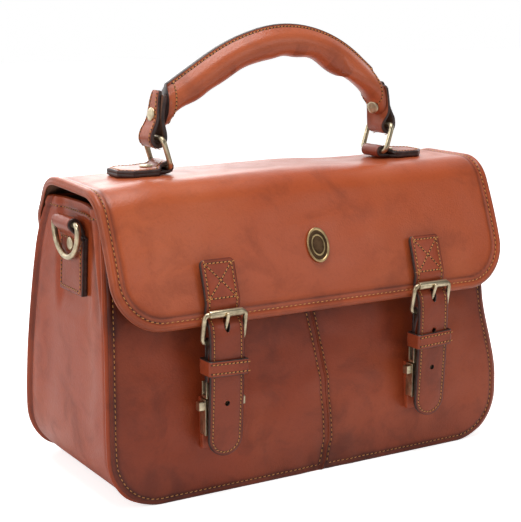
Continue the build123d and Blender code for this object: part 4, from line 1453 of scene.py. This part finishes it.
def makeKeepers():
    middle, deep = (keeper["front"] + keeper["back"]) / 2, (keeper["back"] - keeper["front"]) / 2
    outer = roundedLoop(keeper["halfX"], deep, keeper["corner"], 8)
    inner = roundedLoop(keeper["halfX"] - keeper["thickness"], deep - keeper["thickness"], 0.8, 8)
    half = keeper["high"] / 2
    section = (
        (0, -half + 0.5), (0, -half + 2.3), (0, 0), (0, half - 2.3), (0, half - 0.5), (0.25, half),
        (0.75, half), (1, half - 0.5), (1, 0), (1, -half + 0.5), (0.75, -half), (0.25, -half),
    )
    dip = (0, -0.25, 0.15, -0.25, 0, 0, 0, 0, 0, 0, 0, 0)
    for side, sign in sides.items():
        x, z = sign * strap["x"], keeper["at"][side]
        rings = []
        for (share, up), sink in zip(section, dip):
            loop = (outer + (inner - outer) * share) * (1 + sink / 14)
            tilt = keeper["lean"] * loop[:, 0] * sign
            rings.append(np.column_stack([x + loop[:, 0], middle + loop[:, 1], z + up + tilt]))
        points = np.vstack(rings)
        index = np.arange(len(points)).reshape(len(section), -1)
        faces = np.vstack([loopFaces(index[k], index[(k + 1) % len(section)]) for k in range(len(section))])
        # bands: the outer face, the painted upper rim, the inner face and the painted lower rim
        which = np.repeat([0, 0, 0, 0, 2, 2, 2, 1, 1, 2, 2, 2], len(outer))
        leather = ["tanStrap", "innerHide", "edgePaint"]
        worn = np.full(len(points), 0.25)
        piece = makeObject(f"keeper_{side}_leather", points, faces, leather, which, worn, 50)
        settle(piece, f"keeper_{side}", "leather", f"keeper_{side}")
        for up in (-half + 2.4, half - 2.4):
            loopX = np.linspace(-keeper["halfX"] + 2, keeper["halfX"] - 2, 20)
            tilt = keeper["lean"] * loopX * sign
            pts = np.column_stack([x + loopX, np.full(20, keeper["front"] + 0.1), z + up + tilt])
            addRow(f"keeper_{side}", pts, np.tile([0.0, -1, 0], (20, 1)), stitch["fine"])


makeStraps()
makeBuckles()
makeChapes()
makeKeepers()
for side in sides:
    fromNode(f"clasp_tongue_{side}", 0.3, "antiqueBrass", f"strap_{side}", "brass")
    fromNode(f"clasp_receiver_{side}", 0.35, "antiqueBrass", "bag", "brass")
    for place in ("outer", "inner"):
        fromNode(f"clasp_button_{side}_{place}", 0.25, "antiqueBrass", f"button_{side}_{place}", "brass")
    fromNode(f"clasp_pad_{side}", 0.5, "tanStrap", "bag", "leather")
print("straps, buckles and clasps made")

handle = {
    "y": 3.5,
    "start": (-95.6, 278.2),
    "heading": 33.27,
    "arch": ((51.5, -2.52), (45, -17.12), (45, -28.6), (45, -25.48), (29, -0.98)),
    "grip": 11.0,
    "core": 8.0,
    "loopAt": (104.3, 257.0),
    "tilt": 8.0,
    "wire": 2.0,
    "ringHalf": 16.0,
    "ringLow": (97.4, 236.0),
    "ringHigh": (104.0, 257.5),
    "rivetUp": 17.0,
    "innerRivetUp": 16.0,
    "twist": 24.0,
    "sections": 150,
    "coreShort": 24,
    "loopLeather": 2.8,
    "loopSeam": 2.4,
    "ringCorner": 4.5,
}


def gripSection():
    # the grip's section as (outward, sideways): round below, drawn up into the raised seam
    turn = np.radians(np.linspace(-90, 52, 24))
    half = [(handle["grip"] * math.sin(a), handle["grip"] * math.cos(a)) for a in turn]
    half += [
        (10.2, 5.4), (11.2, 4.1), (12.0, 3.05), (12.7, 2.6), (13.4, 2.4), (13.9, 2.1), (14.15, 1.4),
        (14.25, 0.5),
    ]
    other = [(r, -w) for r, w in reversed(half[1:])]
    return np.array(half + other)


def twistEnd(points):
    # the right end of the handle is wrung a little, so its inner face looks forward
    x, y, z = np.asarray(points, float).T
    amount = rad(handle["twist"]) * smooth(256, 270, z) * smooth(314, 280, z) * (x > 60)
    middle = handle["loopAt"][0] - (z - handle["loopAt"][1]) * math.tan(rad(handle["tilt"]))
    aside, across = x - middle, y - handle["y"]
    turnedX = aside * np.cos(amount) - across * np.sin(amount)
    turnedY = aside * np.sin(amount) + across * np.cos(amount)
    return np.column_stack([middle + turnedX, handle["y"] + turnedY, z])


def makeGrip():
    section = gripSection()
    count = len(section)
    tilt = rad(handle["tilt"])
    run = arcRun(handle["start"], handle["heading"], handle["arch"])
    places = np.linspace(0, run["length"], handle["sections"])
    rings, burn, outs = [], [], []
    for k, along in enumerate(places):
        centre, way = onRun(run, along)
        out = np.array([-way[1], way[0]])
        outs.append(out)
        sign = -1 if k < handle["sections"] / 2 else 1
        far = along if sign < 0 else run["length"] - along
        # near each end the sections turn to lie flat against the loop
        normal = np.array([-sign * math.cos(tilt), -math.sin(tilt)])
        slant = -(out @ normal) / (way @ normal) * (1 - smooth(0, 40, far))
        r, w = section[:, 0].copy(), section[:, 1].copy()
        under = smooth(2, -9, r)
        bumps = np.sin(along / 5.6 + 0.9 * math.sin(along / 17)) * (0.5 + 0.5 * math.sin(along / 23 + 1))
        crush = smooth(8, 40, far) * under
        r = r + crush * (1.5 * bumps + 0.6 * math.sin(along / 9.3))
        w = w * (1 + 0.05 * crush * bumps)
        low = 1 - smooth(0, 26, far)
        squeeze = 0.3 * smooth(4, 10, far) * (1 - smooth(14, 34, far))
        r = np.where(r < 0, r * (1 - squeeze), r)
        w = w * (1 - 0.1 * low * (1 - under * 0.5))
        w = w - 0.35 * np.sign(w) * ridge(far, 3.4, 1.2) * (np.abs(w) > 6)
        flare = np.where(r < -2, 1.0, 0.0) * low
        spot = centre + out * r[:, None] + way * (slant * r)[:, None] * (1 + 0.12 * flare[:, None])
        rings.append(twistEnd(np.column_stack([spot[:, 0], handle["y"] + w, spot[:, 1]])))
        worn = 0.5 * ridge(section[:, 0], 12.2, 0.9) + 0.45 * crush * (bumps < -0.2)
        burn.append(worn + 0.45 * ridge(far, 0, 3))
    points = np.vstack(rings)
    index = np.arange(len(points)).reshape(len(rings), count)
    bands = [loopFaces(a, b) for a, b in zip(index[:-1], index[1:])]
    faces = [tuple(f) for band in bands for f in band]
    high = section[:, 0] > 13.3
    painted = [int(high[k] and high[(k + 1) % count]) for k in range(count)]
    which = painted * len(bands)
    # each end closes with a smaller ring and a cap
    start = len(points)
    capRings = [ring.mean(0) + (ring - ring.mean(0)) * 0.5 for ring in (rings[0], rings[-1])]
    points = np.vstack([points, *capRings])
    for edgeRing, k in ((index[0], 0), (index[-1], 1)):
        cap = start + k * count + np.arange(count)
        faces += [tuple(f) for f in loopFaces(edgeRing, cap)] + [tuple(cap)]
        which += [1] * (count + 1)
    burnish = np.concatenate([np.clip(np.concatenate(burn), 0, 1), np.ones(2 * count)])
    leather = ["tanHandle", "edgePaint"]
    piece = makeObject("handle_grip_leather", points, faces, leather, which, burnish, 60)
    # the foam core stops short of both ends
    short = handle["coreShort"]
    middle = onRun(run, np.linspace(short, run["length"] - short, 60))[0]
    path = twistEnd(np.column_stack([middle[:, 0], np.full(60, handle["y"]), middle[:, 1]]))
    core = makeObject("handle_core_foam", *tubeMesh(path, handle["core"], False, 20), ["foam"])
    settle(core, "handle", "core", "handle_core")
    settle(piece, "handle", "leather", "handle_grip")
    # two rows beside the raised seam, and one beside each end
    for sideways in (1, -1):
        k = int(np.argmin(np.hypot(section[:, 0] - 11.7, section[:, 1] - sideways * 3.5)))
        row = np.array([ring[k] for ring in rings[4:-4]])
        away = np.array(outs[4:-4])
        up = np.column_stack([away[:, 0] * 0.55, np.full(len(away), sideways * 0.85), away[:, 1] * 0.55])
        addRow("handle", row + up * 0.25, up, stitch["grip"])
        for near in (5, len(rings) - 6):
            ring = rings[near]
            pick = [j for j in range(count) if section[j, 1] * sideways > 3.5 and section[j, 0] > -10.5]
            pick.sort(key=lambda j: section[j, 0])
            up = np.column_stack([np.zeros(len(pick)), section[pick, 1], section[pick, 0] * 0.7])
            up /= np.linalg.norm(up, axis=1, keepdims=True)
            addRow("handle", ring[pick] + up * 0.2, up, stitch["fine"])


def upLoop(distance, aside=0.0):
    # a place on the loop's middle line, for the right side; aside is outward
    tilt = rad(handle["tilt"])
    x = handle["loopAt"][0] - distance * math.sin(tilt) + aside * math.cos(tilt)
    return x, handle["loopAt"][1] + distance * math.cos(tilt) + aside * math.sin(tilt)


def turnedLay(run, sign):
    return makeLay(run, (0, handle["y"], 0), (sign, 0, 0), (0, 0, 1), (0, 1, 0), 1)


def makeLoops():
    outer = ((35.5, 2.2), (30, 3.0), (22, 3.15), (15, 3.3), (10, 4.6), (5, 6.5))
    outside = [upLoop(d, a) for d, a in outer]
    bend = [upLoop(7.2 * math.sin(a), 7.2 * math.cos(a)) for a in np.radians(np.arange(0, -181, -20))]
    inside = [upLoop(d, -a) for d, a in ((5, 6.3), (10, 4.4), (15, 3.2), (22, 3.0), (30, 3.0), (33, 2.9))]
    run = throughRun(outside + bend + inside)
    length = run["length"]
    half = stripWidth(
        (0, 4.2), (1.2, 5.6), (3, 6.3), (15, 8.0), (30, 10.5), (length - 3, 10.5), (length - 0.8, 9.4),
        (length, 7.5),
    )
    for side, sign in sides.items():
        lay = turnedLay(run, sign)
        faceOut(lay, 20.0, 0, sign)
        strip = makeStrip(
            f"handle_loop_{side}_leather", lay, handle["loopLeather"], half, "tanHandle", "handle",
            [f"handle_loop_{side}"], seamAt=handle["loopSeam"],
        )
        reshapePiece(strip, twistEnd)
        for way in (1, -1):
            s = np.linspace(3, length * 0.52, 40)
            addSeam("handle", lay, s, way * (half(s) - 2.3), pitch=stitch["loop"])


def ringLoop(sign):
    up, middle, halfHigh = between(handle["ringLow"], handle["ringHigh"])
    loop = roundedLoop(handle["ringHalf"], halfHigh, handle["ringCorner"], 8)
    x = sign * (middle[0] + up[0] * loop[:, 1])
    path = np.column_stack([x, handle["y"] + loop[:, 0], middle[1] + up[1] * loop[:, 1]])
    return path, np.array([up[1], 0, -sign * up[0]])


base = {
    "top": 235.9, "leather": 2.6, "outer": 138.0, "neckX": 104.5, "half": 18.0, "neck": 11.5,
    "chamfer": 9.0, "rivetX": 110.0, "fold": 4.9, "wideX": 108.0, "shoulder": 3.5, "seamIn": 2.6,
}


def makeBases():
    topZ, lowZ = base["top"], base["top"] - 2 * base["leather"]
    points = [
        (base["outer"], topZ), (135, topZ), (120, topZ), (112, topZ + 0.1), (107, topZ + 0.8),
        (103, topZ + 3.2),
    ]
    points += arcPoints(handle["ringLow"], base["fold"], np.arange(80, 271, 19))
    points += [(105, lowZ + 0.05), (112, lowZ), (125, lowZ), (base["outer"], lowZ)]
    run = throughRun(points)
    length = run["length"]
    narrow = whereOnRun(run, 0, base["neckX"])
    firstWide = whereOnRun(run, 0, base["wideX"])
    back = length - (base["outer"] - base["neckX"])
    wide, neck, chamfer = base["half"], base["neck"], base["chamfer"]
    pairs = [(0, wide - chamfer), (chamfer, wide), (firstWide, wide), (narrow, neck), (back, neck)]
    pairs += [(back + base["shoulder"], wide), (length - chamfer, wide), (length, wide - chamfer)]
    half = stripWidth(*pairs)
    for side, sign in sides.items():
        lay = turnedLay(run, sign)
        faceOut(lay, 12.0, 2, 1)
        makeStrip(
            f"handle_base_{side}_leather", lay, base["leather"], half, "tanStrap", "flap",
            [f"handle_base_{side}"], seamAt=base["seamIn"], turns=[m[0] for m in pairs[1:-1]], gap=1.4,
        )
        # the row follows the plate's outline from the neck round to the neck again
        s = np.array([narrow + 2, firstWide + 1.5, firstWide, 10.2, base["seamIn"]])
        w = np.array([8.6, 8.8, 15.2, 15.2, 7.9])
        s, w = np.concatenate([s, s[::-1]]), np.concatenate([w, -w[::-1]])
        addSeam("flap", lay, evenly(s, 90), evenly(w, 90), pitch=stitch["fine"])


rivet = {"radius": 5.2, "high": 1.7, "small": 5.0, "low": 1.3}


def rivetMesh(origin, axis, radius=rivet["radius"], high=rivet["high"]):
    profile = [
        (0.5, -1.2), (radius - 0.7, -1.2), (radius - 0.25, 0.0), (radius, 0.25), (radius, high * 0.45),
        (radius * 0.93, high * 0.78), (radius * 0.7, high * 0.92), (radius * 0.55, high * 0.86),
        (radius * 0.3, high * 0.96), (0.3, high),
    ]
    return discMesh(profile, origin, axis, (0, 1, 0.01), 1, 1, 30)


def makeRivets():
    tilt = rad(handle["tilt"])
    bases, loops, tabs = [], [], []
    for sign in sides.values():
        bases.append(rivetMesh((sign * base["rivetX"], handle["y"], base["top"]), (0, 0, 1)))
        x, z = upLoop(handle["rivetUp"], 3.1)
        outward = np.array([sign * math.cos(tilt), 0, math.sin(tilt)])
        loops.append(rivetMesh((sign * x, handle["y"], z), outward))
        x, z = upLoop(handle["innerRivetUp"], -10.2)
        loops.append(rivetMesh((sign * x, handle["y"], z), -outward, rivet["small"], rivet["low"]))
        place = (sign * (tab["face"] + 0.05), handle["y"], tab["rivetZ"])
        tabs.append(rivetMesh(place, (sign, 0, bag["slope"]), rivet["small"]))
    rivets = {"handle_base_rivets": (bases, "flap"), "handle_rivets": (loops, "handle")}
    rivets["d_ring_rivets"] = (tabs, "bag")
    for name, (parts, body) in rivets.items():
        points, faces = joined(parts)
        points = twistEnd(points) if body == "handle" else points
        piece = makeObject(name + "_domed", points, faces, ["antiqueBrass"], sharp=50)
        settle(piece, body, "brass", name)


tab = {
    "bar": (175.4, 200.0), "fold": 5.05, "bottom": 148.0, "half": 20.0, "neck": 15.0, "layer": 2.5,
    "face": 171.85, "rivetZ": 184, "wideZ": 190.5, "backNeck": 42, "seamIn": 2.8,
}


def makeTabs():
    outer = [(sideX(z) + 2 * tab["layer"], z) for z in (tab["bottom"], 158, 170, 181, 188)]
    outer += arcPoints(tab["bar"], tab["fold"], np.arange(-42, 140, 18))
    outer += [(sideX(z) + 0.1, z) for z in (193, 184, 170, 158, tab["bottom"])]
    run = throughRun(outer)
    length = run["length"]
    wide = whereOnRun(run, 1, tab["wideZ"])
    backNarrow = length - tab["backNeck"]
    plate, neck = tab["half"], tab["neck"]
    front = ((0, plate), (wide - 1.5, plate), (wide + 1, neck))
    half = stripWidth(*front, (backNarrow - 2, neck), (backNarrow, plate), (length, plate))
    turns = (wide - 1.5, wide + 1, backNarrow - 2, backNarrow)
    for side, sign in sides.items():
        lay = turnedLay(run, sign)
        faceOut(lay, 10.0, 0, sign)
        makeStrip(
            f"d_ring_tab_{side}_leather", lay, tab["layer"], half, "tanStrap", "bag",
            [f"d_ring_tab_{side}"], seamAt=tab["seamIn"], turns=turns, gap=1.5,
        )
        inset = plate - tab["seamIn"]
        s = np.array([wide - 3, 3, 3, wide - 3, wide - 3])
        w = np.array([-inset, -inset, inset, inset, -inset])
        addSeam("bag", lay, evenly(s, 120), evenly(w, 120), pitch=stitch["grip"])


dRing = {"half": 21.5, "corner": 3.5, "wire": 2.25, "straight": 4.0}


def makeRings():
    for side, sign in sides.items():
        path, across = ringLoop(sign)
        tube = tubeMesh(path, handle["wire"], True, 16, across)
        piece = makeObject(f"handle_ring_{side}_wire", *tube, ["antiqueBrass"])
        settle(piece, f"ring_{side}", "brass", f"handle_ring_{side}")
        barX, barZ = tab["bar"]
        half, corner, wire = dRing["half"], dRing["corner"], dRing["wire"]
        arc = arcPoints((0, -dRing["straight"]), half, np.arange(0, -181, -6))
        left = arcPoints((corner - half, -corner), corner, np.arange(170, 89, -16))
        right = arcPoints((half - corner, -corner), corner, np.arange(90, 9, -16))
        straight = [(y, 0.0) for y in np.linspace(-half + corner + 2, half - corner - 2, 9)]
        loop = np.array(arc + left + straight + right)
        x = np.full(len(loop), sign * barX)
        path = np.column_stack([x, handle["y"] + loop[:, 0], barZ + loop[:, 1]])
        tube = tubeMesh(path, wire, True, 16, (1, 0, 0))
        piece = makeObject(f"d_ring_{side}_wire", *tube, ["antiqueBrass"])
        settle(piece, f"d_ring_{side}", "brass", f"d_ring_{side}")


badge = {"x": -3.0, "z": 177.5, "wide": 9.6, "tall": 13.3, "arc": 420.25, "count": 56}


def makeBadge():
    y = frontArc(badge["z"], badge["arc"])
    lean = math.asin((badge["z"] - arcCentre[1]) / badge["arc"])
    axis = (0, -math.cos(lean), math.sin(lean))
    profile = [
        (0.3, -0.6), (0.9, -0.6), (0.97, -0.3), (1.0, 0.2), (1.0, 1.1), (0.97, 1.5), (0.92, 1.65),
        (0.87, 1.5), (0.84, 1.0), (0.8, 0.95), (0.62, 1.0), (0.6, 1.2), (0.57, 1.28), (0.54, 1.2),
        (0.52, 1.0), (0.3, 1.05), (0.05, 1.08),
    ]
    place, count = (badge["x"], y, badge["z"]), badge["count"]
    points, faces = discMesh(profile, place, axis, (1, 0, 0), badge["wide"], badge["tall"], count)
    # the sunken rings are dark, and so is the face inside the inner oval
    field = [1 if 8 <= k // count < 10 or k // count >= 14 else 0 for k in range(len(faces))]
    field[-2] = 0
    piece = makeObject("badge_oval", points, faces, ["badgeBrass", "badgeField"], field, sharp=45)
    settle(piece, "flap", "brass", "badge")


makeGrip()
makeLoops()
makeBases()
makeTabs()
makeRings()
makeRivets()
makeBadge()
print("handle, rings and badge made")

for label, rows in seams.items():
    body = bends.get(label, label)
    threads = sewRows(f"thread_{label}", rows, templates["stitch"], 0.5, stitch["slant"], "thread")
    settle(threads, body, "leather")
    # dark dishes as painted shade in the needle holes
    holes = sewRows(f"holes_{label}", rows, templates["hole"], 0.0, 0.0, "needleHoleShade")
    settle(holes, body, "leather")
for template in templates.values():
    bpy.data.objects.remove(template)
print("rows sewn", {label: len(rows) for label, rows in seams.items()})

bpy.context.scene.view_settings.view_transform = "Standard"
